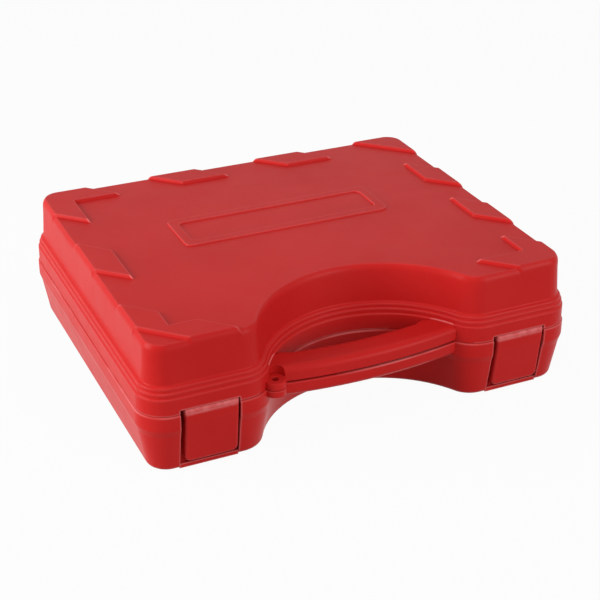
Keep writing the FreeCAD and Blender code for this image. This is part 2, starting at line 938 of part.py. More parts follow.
def drive_ball():
    reach = drive / 2 + ball_stand - ball_radius
    return Part.makeSphere(ball_radius, V(ratchet_x, ratchet_y - reach, ball_z))


button_high = head_high + lever_thickness + button_stand
button_low = gear_low + over
ball_z = head_low - drive_length / 2
stem_low = ball_z - ball_radius


def release_button():
    """Button whose grooved stem lets the ball sink when it is pressed."""
    groove = ball_z + button_travel
    profile = [
        (0, stem_low),
        (stem_radius, stem_low),
        (stem_radius, groove - 1.5 * stem_groove),
        (stem_radius - stem_groove, groove),
        (stem_radius, groove + 1.5 * stem_groove),
        (stem_radius, button_low),
        (button_radius, button_low),
        (button_radius, button_high - socket_chamfer),
        (button_radius - socket_chamfer, button_high),
        (0, button_high),
    ]
    points = [V(ratchet_x + r, ratchet_y, z) for r, z in profile]
    face = Part.Face(Part.makePolygon(points + points[:1]))
    return solid(face.revolve(V(ratchet_x, ratchet_y, 0), V(0, 0, 1), 360))


def ratchet_cover():
    cover = head_post(cover_radius, cover_low, head_high)
    holes = [head_post(button_radius + gear_clearance, cover_low - over, head_high + over)]
    swing = lever_swing + pawl_play_angle
    holes.append(head_sector(slot_radius - screw_radius - gear_clearance, slot_radius + screw_radius
                             + gear_clearance, -swing, swing, cover_low - over, head_high + over))
    for turn in screw_turns:
        holes.append(post(screw_radius, *screw_place(turn), cover_low - over, head_high + over))
    return solid(cover.cut(Part.makeCompound(holes)))


def cover_screws():
    screws = []
    for turn in screw_turns:
        x, y = screw_place(turn)
        shank = post(screw_radius, x, y, head_high - screw_length, head_high + screw_radius)
        head = post(screw_head_radius, x, y, head_high, head_high + screw_radius)
        screws.append(solid(join(shank, head)))
    return Part.makeCompound(screws)


def ratchet_pawl():
    """Sliding pawl, an arc of teeth that the lever pushes to one side or the other."""
    low = gear_low + gear_clearance
    high = cover_low - gear_clearance
    pitch = 360.0 / gear_teeth
    count = int(2 * pawl_half_angle / pitch)
    inner = []
    for i in range(count):
        for share, radius in ((0.0, pawl_inner), (0.5, pawl_inner + tooth_depth)):
            inner.append((radius, (i + share - count / 2) * pitch))
    inner.append((pawl_inner, count / 2 * pitch))
    outer = [(pawl_outer, sign * pawl_half_angle) for sign in (1, 0, -1)]
    spots = [V(ratchet_x + r * math.cos(math.radians(t)), ratchet_y + r * math.sin(math.radians(t)), low)
             for r, t in inner + outer]
    teeth = Part.makePolygon(spots[:len(inner) + 1])
    back = Part.Arc(*spots[len(inner):]).toShape()
    rim = Part.Wire(teeth.Edges + [back, line(spots[-1], spots[0])])
    pawl = Part.Face(rim).extrude(V(0, 0, high - low))
    half = lever_swing
    slot = head_sector(slot_radius - screw_radius - gear_clearance,
                       slot_radius + screw_radius + gear_clearance,
                       -half, half, high - screw_radius * 2, high + over)
    return solid(pawl.cut(slot))


def reversing_lever():
    low = head_high + gear_clearance
    high = low + lever_thickness
    hub = head_post(lever_radius, low, high)
    thumb = box(ratchet_x, ratchet_x + lever_reach, ratchet_y - lever_half_width,
                ratchet_y + lever_half_width, low, high)
    rims = [edge for edge in thumb.Edges if edge.BoundBox.XMin > ratchet_x + over
            and edge.BoundBox.ZLength > over]
    thumb = thumb.makeFillet(lever_half_width * 0.8, rims)
    pin = post(screw_radius, ratchet_x + slot_radius, ratchet_y, cover_low - gear_clearance
               - screw_radius, low + over)
    hole = head_post(button_radius + gear_clearance, low - over, high + over)
    return solid(join(hub, thumb, pin).cut(hole))


# Tray: a sheet with a pocket moulded down for every tool
def tray_pockets():
    """Pairs of (pocket cut, block that becomes the pocket's walls)."""
    pockets = []

    def upright(radius, x, y, floor):
        room = radius + pocket_clearance
        reach = room + sheet
        block = post(reach, x, y, floor - sheet, tray_top)
        pockets.append((post(room, x, y, floor, tray_top + over), block))

    def trough(radius, x0, x1, y, z):
        room = radius + pocket_clearance
        reach = room + sheet
        cut = rod(room, x0, x1, y, z)
        block = box(x0 - sheet, x1 + sheet, y - reach, y + reach, z - reach, tray_top)
        pockets.append((cut, block))

    for size, (x, y) in socket_places.items():
        upright(widest(size) / 2, x, y, socket_floor)
    for size, (x, y) in plug_places.items():
        upright(widest(size) / 2, x, y, plug_floor)
    end_room = long_bar_x + bar_end_length + bar_shoulder
    trough(bar_end_radius, long_bar_x - mouth_room, end_room, long_bar_y, bar_z)
    trough(bar_collar_radius, end_room - over, long_bar_x + long_bar + pocket_clearance,
           long_bar_y, bar_z)
    upright(head_radius, ratchet_x, ratchet_y, head_low)
    upright(journal_radius + pocket_clearance, ratchet_x, ratchet_y, head_low - drive_length - over)
    trough(neck_radius, ratchet_x, grip_start, ratchet_y, ratchet_z)
    trough(grip_radius, grip_start - over, ratchet_end + pocket_clearance, ratchet_y, ratchet_z)
    return pockets


def short_bar_pocket():
    """The short bar's trough, modelled along X and then turned along Y."""
    room = bar_end_radius + pocket_clearance
    small = bar_collar_radius + pocket_clearance
    cuts = [rod(room, -pocket_clearance, bar_end_length + bar_shoulder, 0, bar_z),
            rod(small, 0, short_bar + pocket_clearance, 0, bar_z)]
    reach = room + sheet
    block = box(-pocket_clearance - sheet, short_bar + pocket_clearance + sheet, -reach, reach,
                bar_z - reach, tray_top)
    cut = Part.makeCompound(cuts)
    for piece in (cut, block):
        piece.rotate(V(0, 0, 0), V(0, 0, 1), 90)
        piece.translate(V(short_bar_x, short_bar_y, 0))
    return cut, block


def base_tray():
    edge = land_width + insert_clearance
    sheet_plate = case_plate(edge, tray_top - wall, tray_top)
    grow = wall + insert_clearance
    notches = [latch_room(middle, 0, case_height, grow) for middle in latch_middles]
    pockets = tray_pockets() + [short_bar_pocket()]
    tray = join(sheet_plate, *[block for cut, block in pockets])
    tray = tray.cut(Part.makeCompound(notches))
    for cut, block in pockets:
        tray = tray.cut(cut)
    return solid(tray.removeSplitter())


def lid_liner():
    """Inner wall of the lid, an upturned tray with room over the tools."""
    edge = land_width + insert_clearance
    foot = land_width + ledge_width + insert_clearance
    head = foot + liner_draft
    ring = case_ring([
        (edge, lid_foot),
        (foot + sheet, lid_foot),
        (head + sheet, liner_height),
        (ring_reach + sheet, liner_height),
        (ring_reach + sheet, liner_height + sheet),
        (head, liner_height + sheet),
        (foot, lid_foot + wall),
        (edge, lid_foot + wall),
    ])
    liner = join(ring, case_plate(ring_reach, liner_height, liner_height + sheet))
    crease = parting_height + latch_head + crease_gap
    notches = [latch_room(middle, 0, crease, insert_clearance) for middle in latch_middles]
    return solid(liner.cut(Part.makeCompound(notches)))


def all_parts():
    parts = {
        "base_shell": base_shell(),
        "lid_shell": lid_shell(),
        "left_latch": latch(latch_middles[0]),
        "right_latch": latch(latch_middles[1]),
        "hinge_pins": hinge_pins(),
        "tool_tray": base_tray(),
        "lid_liner": lid_liner(),
        "ratchet_body": ratchet_body(),
        "ratchet_grip": ratchet_grip(),
        "ratchet_drive_gear": drive_gear(),
        "ratchet_drive_ball": drive_ball(),
        "ratchet_cover": ratchet_cover(),
        "ratchet_cover_screws": cover_screws(),
        "ratchet_pawl": ratchet_pawl(),
        "ratchet_lever": reversing_lever(),
        "ratchet_button": release_button(),
    }
    for row in socket_sizes:
        for size in row:
            x, y = socket_places[size]
            parts[f"socket_{size}"] = socket_solid(size, socket_height(size), x, y, socket_floor)
    for size, (x, y) in plug_places.items():
        parts[f"plug_socket_{size}"] = socket_solid(size, plug_socket_length, x, y, plug_floor)
        parts[f"plug_rubber_{size}"] = plug_rubber(size, x, y)
    bars = {
        "long_extension": placed_bar(long_bar, long_bar_x, long_bar_y, 0),
        "short_extension": placed_bar(short_bar, short_bar_x, short_bar_y, 90),
    }
    for name, (bar, ball) in bars.items():
        parts[name] = bar
        parts[name + "_ball"] = ball
    return parts


os.makedirs("parts", exist_ok=True)
for name, shape in all_parts().items():
    shape.exportStep(f"parts/{name}.step")
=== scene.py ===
import json
import math
import bmesh
import bpy
import numpy
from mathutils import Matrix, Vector
from mathutils.geometry import delaunay_2d_cdt


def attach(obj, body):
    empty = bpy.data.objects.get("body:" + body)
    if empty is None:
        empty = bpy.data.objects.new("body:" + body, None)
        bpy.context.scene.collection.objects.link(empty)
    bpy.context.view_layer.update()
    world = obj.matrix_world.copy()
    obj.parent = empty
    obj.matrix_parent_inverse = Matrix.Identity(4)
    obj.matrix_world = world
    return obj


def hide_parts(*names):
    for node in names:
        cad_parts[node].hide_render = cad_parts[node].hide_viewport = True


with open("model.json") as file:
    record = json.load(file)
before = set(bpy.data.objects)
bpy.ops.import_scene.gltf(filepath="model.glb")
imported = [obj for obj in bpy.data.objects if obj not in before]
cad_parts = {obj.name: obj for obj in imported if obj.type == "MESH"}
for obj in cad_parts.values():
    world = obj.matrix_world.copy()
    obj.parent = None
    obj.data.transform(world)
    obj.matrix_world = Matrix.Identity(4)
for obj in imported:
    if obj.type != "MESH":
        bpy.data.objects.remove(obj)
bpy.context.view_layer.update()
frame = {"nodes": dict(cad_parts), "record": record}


# Base shell
# The lower half of the case, a hollow red polyethylene moulding with a scooped front,
# an upright rim band, a drafted wall and a deep recess under each latch.
half_width = 0.160
rim_front = -0.1375
rim_back = 0.1315
corner_radius = 0.0206
scoop_depth = 0.053
scoop_radius = 0.078
shoulder_radius = 0.025
arc_step = 0.0012
parting = 0.045
parting_half_gap = 0.00015
base_top = parting - parting_half_gap
lid_foot = parting + parting_half_gap
land_width = 0.007
land_edge = 0.0003
ledge_inset = 0.012


def arc_run(centre, radius, start, end, inward):
    """Rim stations along an arc: a point, and the way into the case there."""
    count = max(6, round(abs(math.radians(end - start)) * radius / arc_step))
    run = []
    for i in range(count + 1):
        turn = math.radians(start + (end - start) * i / count)
        way = Vector((math.cos(turn), math.sin(turn)))
        run.append((Vector(centre) + way * radius, way * inward))
    return run


def rim_stations():
    """Stations round the whole rim: back left corner first, then by way of the scoop."""
    scoop_y = rim_front + scoop_depth - scoop_radius
    shoulder_y = rim_front + shoulder_radius
    rise = shoulder_y - scoop_y
    shoulder_x = math.sqrt((scoop_radius + shoulder_radius) ** 2 - rise ** 2)
    turn = math.degrees(math.atan2(rise, shoulder_x))
    corner_x = half_width - corner_radius
    back = rim_back - corner_radius
    front = rim_front + corner_radius
    return (arc_run((-corner_x, back), corner_radius, 90, 180, -1)
            + arc_run((-corner_x, front), corner_radius, 180, 270, -1)
            + arc_run((-shoulder_x, shoulder_y), shoulder_radius, 270, 360 - turn, -1)
            + arc_run((0, scoop_y), scoop_radius, 180 - turn, turn, 1)[1:-1]
            + arc_run((shoulder_x, shoulder_y), shoulder_radius, 180 + turn, 270, -1)
            + arc_run((corner_x, front), corner_radius, 270, 360, -1)
            + arc_run((corner_x, back), corner_radius, 0, 90, -1))


def rounded(corners, closed=False, steps=5):
    """Line through (across, up, radius) corners, each turned by an arc of its radius."""
    line = []
    last = len(corners) - 1
    for i, (across, up, radius) in enumerate(corners):
        here = Vector((across, up))
        if radius == 0 or (not closed and i in (0, last)):
            line.append(here)
            continue
        before = Vector(corners[i - 1][:2]) - here
        after = Vector(corners[(i + 1) % len(corners)][:2]) - here
        half = before.angle(after) / 2
        reach = min(radius / math.tan(half), 0.45 * min(before.length, after.length))
        middle = (before.normalized() + after.normalized()).normalized()
        centre = here + middle * (reach / math.cos(half))
        start = here + before.normalized() * reach - centre
        end = here + after.normalized() * reach - centre
        first = math.atan2(start.y, start.x)
        swing = (math.atan2(end.y, end.x) - first + math.pi) % (2 * math.pi) - math.pi
        for step in range(steps + 1):
            turn = first + swing * step / steps
            line.append(centre + Vector((math.cos(turn), math.sin(turn))) * start.length)
    return line


def skin(mesh, rings):
    """Quads between closed rings of vertices that have the same count."""
    for low, high in zip(rings, rings[1:]):
        for i in range(len(low)):
            mesh.faces.new((low[i - 1], low[i], high[i], high[i - 1]))


def sweep(mesh, stations, profile):
    """Carries a profile of (inset, height) points round the stations."""
    rings = []
    for inset, height in profile:
        ring = []
        for point, inward in stations:
            ring.append(mesh.verts.new((*(point + inward * inset), height)))
        rings.append(ring)
    return rings


def new_object(name, mesh):
    """Object of a bmesh, with its faces turned outwards."""
    bmesh.ops.remove_doubles(mesh, verts=mesh.verts, dist=1e-7)
    bmesh.ops.recalc_face_normals(mesh, faces=mesh.faces)
    data = bpy.data.meshes.new(name)
    mesh.to_mesh(data)
    mesh.free()
    made = bpy.data.objects.new(name, data)
    bpy.context.scene.collection.objects.link(made)
    return made


def settle(made):
    """Turns an object's modifiers into its plain mesh."""
    graph = bpy.context.evaluated_depsgraph_get()
    done = bpy.data.meshes.new_from_object(made.evaluated_get(graph))
    made.modifiers.clear()
    old = made.data
    made.data = done
    bpy.data.meshes.remove(old)


def carve(made, cutter):
    """Cuts the cutter's volume out of an object and removes the cutter."""
    cut = made.modifiers.new("carve", "BOOLEAN")
    cut.operation = "DIFFERENCE"
    cut.solver = "EXACT"
    cut.object = cutter
    settle(made)
    bpy.data.objects.remove(cutter)


def soften(made, width, angle=40):
    """Rounds the edges that turn by more than the angle."""
    bevel = made.modifiers.new("soften", "BEVEL")
    bevel.limit_method = "ANGLE"
    bevel.angle_limit = math.radians(angle)
    bevel.width = width
    bevel.segments = 2
    settle(made)


def merge(first, *others):
    """Joins other objects' meshes into the first one."""
    mesh = bmesh.new()
    mesh.from_mesh(first.data)
    for other in others:
        mesh.from_mesh(other.data)
        bpy.data.objects.remove(other)
    mesh.to_mesh(first.data)
    mesh.free()


def hand_over(made, body, node, material, smooth=32):
    """Gives a piece its material and shading, and sets it on its body in place of a CAD node."""
    made.data.materials.clear()
    made.data.materials.append(material)
    made.data.shade_smooth()
    made.data.set_sharp_from_angle(angle=math.radians(smooth))
    even = made.modifiers.new("even", "WEIGHTED_NORMAL")
    even.keep_sharp = True
    settle(made)
    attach(made, body)
    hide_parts(node)


def box_mesh(mesh, low, high):
    """Closed box between two corners."""
    corners = []
    for x in (low[0], high[0]):
        for y in (low[1], high[1]):
            for z in (low[2], high[2]):
                corners.append(mesh.verts.new((x, y, z)))
    bmesh.ops.convex_hull(mesh, input=corners)


rim = rim_stations()
rim_band = 0.0107
rim_edge = 0.0009
band_step = 0.0050
band_round = 0.0040
base_wall_inset = 0.0015
base_wall_foot = 0.0064
bottom_round = 0.0045
cap_inset = 0.016
wall = 0.0022
band_foot = base_top - rim_band

base_mesh = bmesh.new()
base_outside = rounded([
    (ledge_inset, base_top - 2 * wall, 0),
    (ledge_inset, base_top - wall, 0),
    (land_width, base_top - wall, 0),
    (land_width, base_top, land_edge),
    (0.0, base_top, rim_edge),
    (0.0, band_foot, band_round),
    (base_wall_inset, band_foot - band_step, band_round),
    (base_wall_foot, 0.0, bottom_round),
    (cap_inset, 0.0, 0),
])
base_inside = [
    (ledge_inset, base_top - 2 * wall),
    (wall, base_top - 2 * wall),
    (wall, band_foot),
    (base_wall_inset + wall, band_foot - band_step),
    (base_wall_foot + wall, bottom_round),
    (base_wall_foot + bottom_round, wall),
    (cap_inset, wall),
]
for profile in (base_outside, base_inside):
    rings = sweep(base_mesh, rim, profile)
    skin(base_mesh, rings)
    base_mesh.faces.new(rings[-1])
base_piece = new_object("base_shell_moulding", base_mesh)

latch_middle = 0.115
latch_half = 0.0185
recess_half = 0.0205
recess_depth = 0.0105
recess_back = rim_front + recess_depth
hinge_middle = 0.085
hinge_setback = 0.001
hinge_y = rim_back + hinge_setback
knuckle_length = 0.015
knuckle_step = 0.0155
knuckle_radius = 0.005
knuckle_room = 0.0054
over = 0.002

base_cutter = bmesh.new()
for side in (-1, 1):
    middle = side * latch_middle
    box_mesh(base_cutter, (middle - recess_half, rim_front - over, -over),
             (middle + recess_half, recess_back, base_top + over))
    middle = side * hinge_middle
    box_mesh(base_cutter, (middle - knuckle_step / 2, rim_back - knuckle_room, parting - knuckle_room),
             (middle + knuckle_step / 2, rim_back + over, base_top + over))
carve(base_piece, new_object("base_cutter", base_cutter))

recess_mesh = bmesh.new()
recess_foot = 0.0002
recess_top = base_top - wall - recess_foot
recess_sill = 0.0034
sill_setback = 0.0006
recess_lap = 0.0016
recess_reach = 0.0100
recess_side = [(rim_front + recess_lap, recess_top)]
for inset, height in base_outside:
    if inset < recess_reach and height < base_top - wall:
        recess_side.append((rim_front + inset + recess_lap, max(height, recess_foot)))
recess_side += [(recess_back + wall, recess_foot), (recess_back + wall, recess_top)]
for side in (-1, 1):
    middle = side * latch_middle
    box_mesh(recess_mesh, (middle - recess_half, recess_back, recess_foot),
             (middle + recess_half, recess_back + wall, recess_top))
    box_mesh(recess_mesh, (middle - recess_half, rim_front + base_wall_foot + sill_setback, recess_foot),
             (middle + recess_half, recess_back, recess_sill))
    for edge in (-1, 1):
        rings = []
        for reach in (recess_half, recess_half + wall):
            x = middle + edge * reach
            rings.append([recess_mesh.verts.new((x, y, z)) for y, z in recess_side])
        skin(recess_mesh, rings)
        for ring in rings:
            recess_mesh.faces.new(ring)
base_recesses = new_object("base_recesses", recess_mesh)


# Carrying handle, lower half
# A bowed bar across the scoop, split along the parting like the case, so each shell carries
# half of it. The lower half stands a little proud, under the dark gap along the front.
handle_setback = 0.004
handle_outer = 0.355
handle_inner = 0.333
handle_half = 0.076
handle_axis_y = rim_front + handle_setback + handle_outer
handle_turn = math.asin(handle_half / handle_outer)
handle_low = parting - 0.011
handle_high = parting + 0.0115
handle_steps = 128
grip_gap = 0.0008
grip_lip = 0.0004
grip_groove = 0.0008
hole_half = 0.046
hole_taper = 0.016
handle_root = 0.003
handle_round = 0.006


def bowed_bar(name, section):
    """Sweeps a closed (radius, height) section along the bow, its ends filled back to the wall."""
    mesh = bmesh.new()
    front_rim = [point for point, inward in rim if point.y < 0]
    rings = []
    for i in range(handle_steps + 1):
        turn = -math.pi / 2 + handle_turn * (2 * i / handle_steps - 1)
        way = Vector((math.cos(turn), math.sin(turn)))
        inner = Vector((0, handle_axis_y)) + way * handle_inner
        behind = min(front_rim, key=lambda point: abs(point.x - inner.x))
        share = min(max((abs(inner.x) - hole_half) / hole_taper, 0), 1)
        fill = share * share * (3 - 2 * share) * max(behind.y + handle_root - inner.y, 0)
        ring = []
        for radius, height in section:
            point = Vector((0, handle_axis_y)) + way * radius
            back = fill if radius < (handle_inner + handle_outer) / 2 else 0
            ring.append(mesh.verts.new((point.x, point.y + back, height)))
        rings.append(ring)
    skin(mesh, rings)
    mesh.faces.new(rings[0])
    mesh.faces.new(rings[-1])
    return new_object(name, mesh)


lower_grip = bowed_bar("lower_grip", rounded([
    (handle_inner, base_top - grip_gap / 2, grip_groove),
    (handle_outer + grip_lip, base_top - grip_gap / 2, grip_groove),
    (handle_outer + grip_lip, handle_low, handle_round),
    (handle_inner, handle_low, handle_round),
], closed=True))

lug_x = -0.067
lug_y = rim_front + 0.0085
lug_radius = 0.0075
lug_thickness = 0.0052
lug_hole = 0.0025
lug_hole_round = 0.0004
lug_edge_round = 0.0008
lug_sides = 48


def lug_ear(name, low, high):
    """Round ear with a hole, one half of the pair that takes a padlock."""
    mesh = bmesh.new()
    section = rounded([
        (lug_hole, low, lug_hole_round), (lug_radius, low, lug_edge_round),
        (lug_radius, high, lug_edge_round), (lug_hole, high, lug_hole_round),
    ], closed=True, steps=3)
    rings = []
    for i in range(lug_sides):
        turn = 2 * math.pi * i / lug_sides
        way = Vector((math.cos(turn), math.sin(turn)))
        rings.append([mesh.verts.new((lug_x + way.x * r, lug_y + way.y * r, z)) for r, z in section])
    rings.append(rings[0])
    skin(mesh, rings)
    return new_object(name, mesh)


def lug_cutter(low, high):
    """Room that the handle leaves round an ear."""
    mesh = bmesh.new()
    points = []
    for i in range(lug_sides):
        turn = 2 * math.pi * i / lug_sides
        x = lug_x + lug_radius * math.cos(turn)
        y = lug_y + lug_radius * math.sin(turn)
        for z in (low, high):
            points.append(mesh.verts.new((x, y, z)))
    bmesh.ops.convex_hull(mesh, input=points)
    return new_object("lug_cutter", mesh)


carve(lower_grip, lug_cutter(handle_low - over, base_top + over))
lower_ear = lug_ear("lower_ear", base_top - lug_thickness, base_top)


# Red polyethylene
# Satin moulded plastic: a fine sand-like grain, slow changes of tone from the moulding, and painted
# highlights on thin edges, under each latch's crease and on the base's upper edge, where the pale line is
# partly trimmed flash.
def new_group(name, inputs, outputs):
    """Shader node group with float and colour sockets."""
    group = bpy.data.node_groups.new(name, "ShaderNodeTree")
    for label, kind, value in inputs:
        socket = group.interface.new_socket(label, in_out="INPUT", socket_type=kind)
        socket.default_value = value
    for label, kind in outputs:
        group.interface.new_socket(label, in_out="OUTPUT", socket_type=kind)
    return group, group.nodes.new("NodeGroupInput"), group.nodes.new("NodeGroupOutput")


def noise_node(tree, coords, scale, detail, stretch=(1, 1, 1)):
    """Noise on the object's own coordinates, in metres."""
    mapping = tree.nodes.new("ShaderNodeMapping")
    mapping.inputs["Scale"].default_value = stretch
    tree.links.new(coords, mapping.inputs["Vector"])
    noise = tree.nodes.new("ShaderNodeTexNoise")
    noise.inputs["Scale"].default_value = scale
    noise.inputs["Detail"].default_value = detail
    tree.links.new(mapping.outputs["Vector"], noise.inputs["Vector"])
    return noise.outputs["Fac"]


def span_node(tree, value, low, high, to_low, to_high):
    """Maps a value's span to another span, and stops at its ends."""
    span = tree.nodes.new("ShaderNodeMapRange")
    span.inputs["From Min"].default_value = low
    span.inputs["From Max"].default_value = high
    span.inputs["To Min"].default_value = to_low
    span.inputs["To Max"].default_value = to_high
    tree.links.new(value, span.inputs["Value"])
    return span.outputs["Result"]


def mix_node(tree, factor, first, second):
    """Mixes two colours, each a socket or a plain value."""
    mix = tree.nodes.new("ShaderNodeMix")
    mix.data_type = "RGBA"
    tree.links.new(factor, mix.inputs["Factor"])
    for source, socket in ((first, mix.inputs["A"]), (second, mix.inputs["B"])):
        if isinstance(source, bpy.types.NodeSocket):
            tree.links.new(source, socket)
        else:
            socket.default_value = source
    return mix.outputs["Result"]


def math_node(tree, operation, first, second):
    """Joins two values by a sum, a product or a choice."""
    node = tree.nodes.new("ShaderNodeMath")
    node.operation = operation
    tree.links.new(first, node.inputs[0])
    tree.links.new(second, node.inputs[1])
    return node.outputs[0]


moulded, moulded_in, moulded_out = new_group(
    "moulded_skin",
    [("Colour", "NodeSocketColor", (1, 1, 1, 1)), ("Deep", "NodeSocketColor", (0, 0, 0, 1)),
     ("Roughness", "NodeSocketFloat", 0.4), ("Grain", "NodeSocketFloat", 1.0)],
    [("Colour", "NodeSocketColor"), ("Roughness", "NodeSocketFloat"), ("Height", "NodeSocketFloat")])
coords = moulded.nodes.new("ShaderNodeTexCoord").outputs["Object"]
slow = span_node(moulded, noise_node(moulded, coords, scale=14, detail=2), 0.3, 0.7, 0, 1)
tone = mix_node(moulded, slow, moulded_in.outputs["Colour"], moulded_in.outputs["Deep"])
grain = noise_node(moulded, coords, scale=1400, detail=1)
scuff = span_node(moulded, noise_node(moulded, coords, scale=60, detail=4), 0.35, 0.75, -0.02, 0.03)
rough = math_node(moulded, "ADD", moulded_in.outputs["Roughness"], scuff)
grain_height = math_node(moulded, "MULTIPLY", grain, moulded_in.outputs["Grain"])
moulded.links.new(tone, moulded_out.inputs["Colour"])
moulded.links.new(rough, moulded_out.inputs["Roughness"])
moulded.links.new(grain_height, moulded_out.inputs["Height"])

# Painted highlights: pale colour on thin edges, found by short inside rays, and on the base's upper edge.
highlight_reach = 0.0013
highlight_side = 0.080
highlight_back = rim_front + 0.0455
highlight_margin = 0.0004
highlight_fade = 0.0005
highlight_fade_height = 0.0002
lip_flash_highlight_foot = base_top - 0.0014
lip_flash_highlight_full = base_top - 0.0006
lip_flash_highlight_end = 0.0001

edge_light_and_flash, edge_light_and_flash_in, edge_light_and_flash_out = new_group(
    "painted_edge_highlights_and_flash",
    [("Colour", "NodeSocketColor", (1, 1, 1, 1)), ("Pale", "NodeSocketColor", (1, 1, 1, 1))],
    [("Colour", "NodeSocketColor")])
thickness = edge_light_and_flash.nodes.new("ShaderNodeAmbientOcclusion")
thickness.inside = True
thickness.only_local = True
thickness.samples = 8
thickness.inputs["Distance"].default_value = highlight_reach
coords = edge_light_and_flash.nodes.new("ShaderNodeTexCoord").outputs["Object"]
split = edge_light_and_flash.nodes.new("ShaderNodeSeparateXYZ")
edge_light_and_flash.links.new(coords, split.inputs["Vector"])
level = split.outputs["Z"]
across = edge_light_and_flash.nodes.new("ShaderNodeMath")
across.operation = "ABSOLUTE"
edge_light_and_flash.links.new(split.outputs["X"], across.inputs[0])

# The painted edge highlights are left off the handle.
highlight_top = handle_high + highlight_margin
highlight_foot = handle_low - highlight_margin
beside = span_node(edge_light_and_flash, across.outputs[0], highlight_side - highlight_fade, highlight_side + highlight_fade, 0, 1)
behind = span_node(edge_light_and_flash, split.outputs["Y"], highlight_back - highlight_fade, highlight_back + highlight_fade, 0, 1)
above = span_node(edge_light_and_flash, level, highlight_top - highlight_fade_height, highlight_top + highlight_fade_height, 0, 1)
below = span_node(edge_light_and_flash, level, highlight_foot - highlight_fade_height, highlight_foot + highlight_fade_height, 1, 0)
off_handle = math_node(edge_light_and_flash, "MAXIMUM", math_node(edge_light_and_flash, "MAXIMUM", beside, behind),
                       math_node(edge_light_and_flash, "MAXIMUM", above, below))
thin_edge_highlight_share = span_node(edge_light_and_flash, thickness.outputs["AO"], 0.55, 0.95, 0.75, 0)
edge_highlight_share = math_node(edge_light_and_flash, "MULTIPLY", thin_edge_highlight_share, off_handle)

# A broken pale line along the base's upper edge: partly trimmed flash, partly a painted highlight where the
# lip catches light.
lip_flash_highlight_rise = span_node(edge_light_and_flash, level, lip_flash_highlight_foot, lip_flash_highlight_full, 0, 0.7)
lip_flash_highlight_fall = span_node(edge_light_and_flash, level, base_top - lip_flash_highlight_end, base_top + lip_flash_highlight_end, 1, 0)
lip_flash_highlight_band = math_node(edge_light_and_flash, "MINIMUM", lip_flash_highlight_rise, lip_flash_highlight_fall)
lip_flash_highlight_patches = span_node(edge_light_and_flash, noise_node(edge_light_and_flash, coords, scale=28, detail=2), 0.42, 0.60, 0.15, 1)
lip_flash_highlight_share = math_node(edge_light_and_flash, "MULTIPLY", lip_flash_highlight_patches, lip_flash_highlight_band)
highlight_and_flash_share = math_node(edge_light_and_flash, "MAXIMUM", edge_highlight_share, lip_flash_highlight_share)
edge_light_and_flash.links.new(mix_node(edge_light_and_flash, highlight_and_flash_share, edge_light_and_flash_in.outputs["Colour"], edge_light_and_flash_in.outputs["Pale"]),
               edge_light_and_flash_out.inputs["Colour"])

grain_depth = 0.00002
plastic_sheen = 0.09


def moulded_material(name, colour, deep, roughness, grain_share, highlight_pale=None):
    """Moulded plastic or rubber with its grain as a bump, and painted highlights on its edges when a
    highlight colour is given.
    """
    material = bpy.data.materials.new(name)
    material.use_nodes = True
    tree = material.node_tree
    shader = tree.nodes["Principled BSDF"]
    group = tree.nodes.new("ShaderNodeGroup")
    group.node_tree = moulded
    group.inputs["Colour"].default_value = (*colour, 1)
    group.inputs["Deep"].default_value = (*deep, 1)
    group.inputs["Roughness"].default_value = roughness
    group.inputs["Grain"].default_value = grain_share
    bump = tree.nodes.new("ShaderNodeBump")
    bump.inputs["Strength"].default_value = 0.6
    bump.inputs["Distance"].default_value = grain_depth
    shader.inputs["Specular IOR Level"].default_value = plastic_sheen
    tone = group.outputs["Colour"]
    # Painted highlights on thin edges, and along the base's upper edge where the pale line is partly flash.
    if highlight_pale:
        edge_lighting = tree.nodes.new("ShaderNodeGroup")
        edge_lighting.node_tree = edge_light_and_flash
        edge_lighting.inputs["Pale"].default_value = (*highlight_pale, 1)
        tree.links.new(tone, edge_lighting.inputs["Colour"])
        tone = edge_lighting.outputs["Colour"]
    tree.links.new(tone, shader.inputs["Base Color"])
    tree.links.new(group.outputs["Roughness"], shader.inputs["Roughness"])
    tree.links.new(group.outputs["Height"], bump.inputs["Height"])
    tree.links.new(bump.outputs["Normal"], shader.inputs["Normal"])
    return material


red_colour = (0.53, 0.0155, 0.014)
red_deep = (0.49, 0.0115, 0.0105)
# Colour of the painted highlights, and of the partly flash line along the base's upper edge.
highlight_and_flash_red = (0.68, 0.16, 0.16)
red_roughness = 0.38
red_grain = 1.0
red_plastic = moulded_material("red_polyethylene", red_colour, red_deep, red_roughness, red_grain, highlight_and_flash_red)


# Hinge knuckles
# Barrels moulded on both rims at the back, with a gusset down the rim, round a steel pin. One barrel is
# repeated along each hinge, and the hinge along the rim.
knuckle_rows = bpy.data.node_groups.new("knuckle_rows", "GeometryNodeTree")
for label, kind in (("Geometry", "NodeSocketGeometry"), ("Material", "NodeSocketMaterial"),
                    ("Barrels", "NodeSocketInt"), ("Barrel pitch", "NodeSocketFloat"),
                    ("Hinges", "NodeSocketInt"), ("Hinge pitch", "NodeSocketFloat")):
    knuckle_rows.interface.new_socket(label, in_out="INPUT", socket_type=kind)
knuckle_rows.interface.new_socket("Geometry", in_out="OUTPUT", socket_type="NodeSocketGeometry")
rows_in = knuckle_rows.nodes.new("NodeGroupInput")
rows_out = knuckle_rows.nodes.new("NodeGroupOutput")


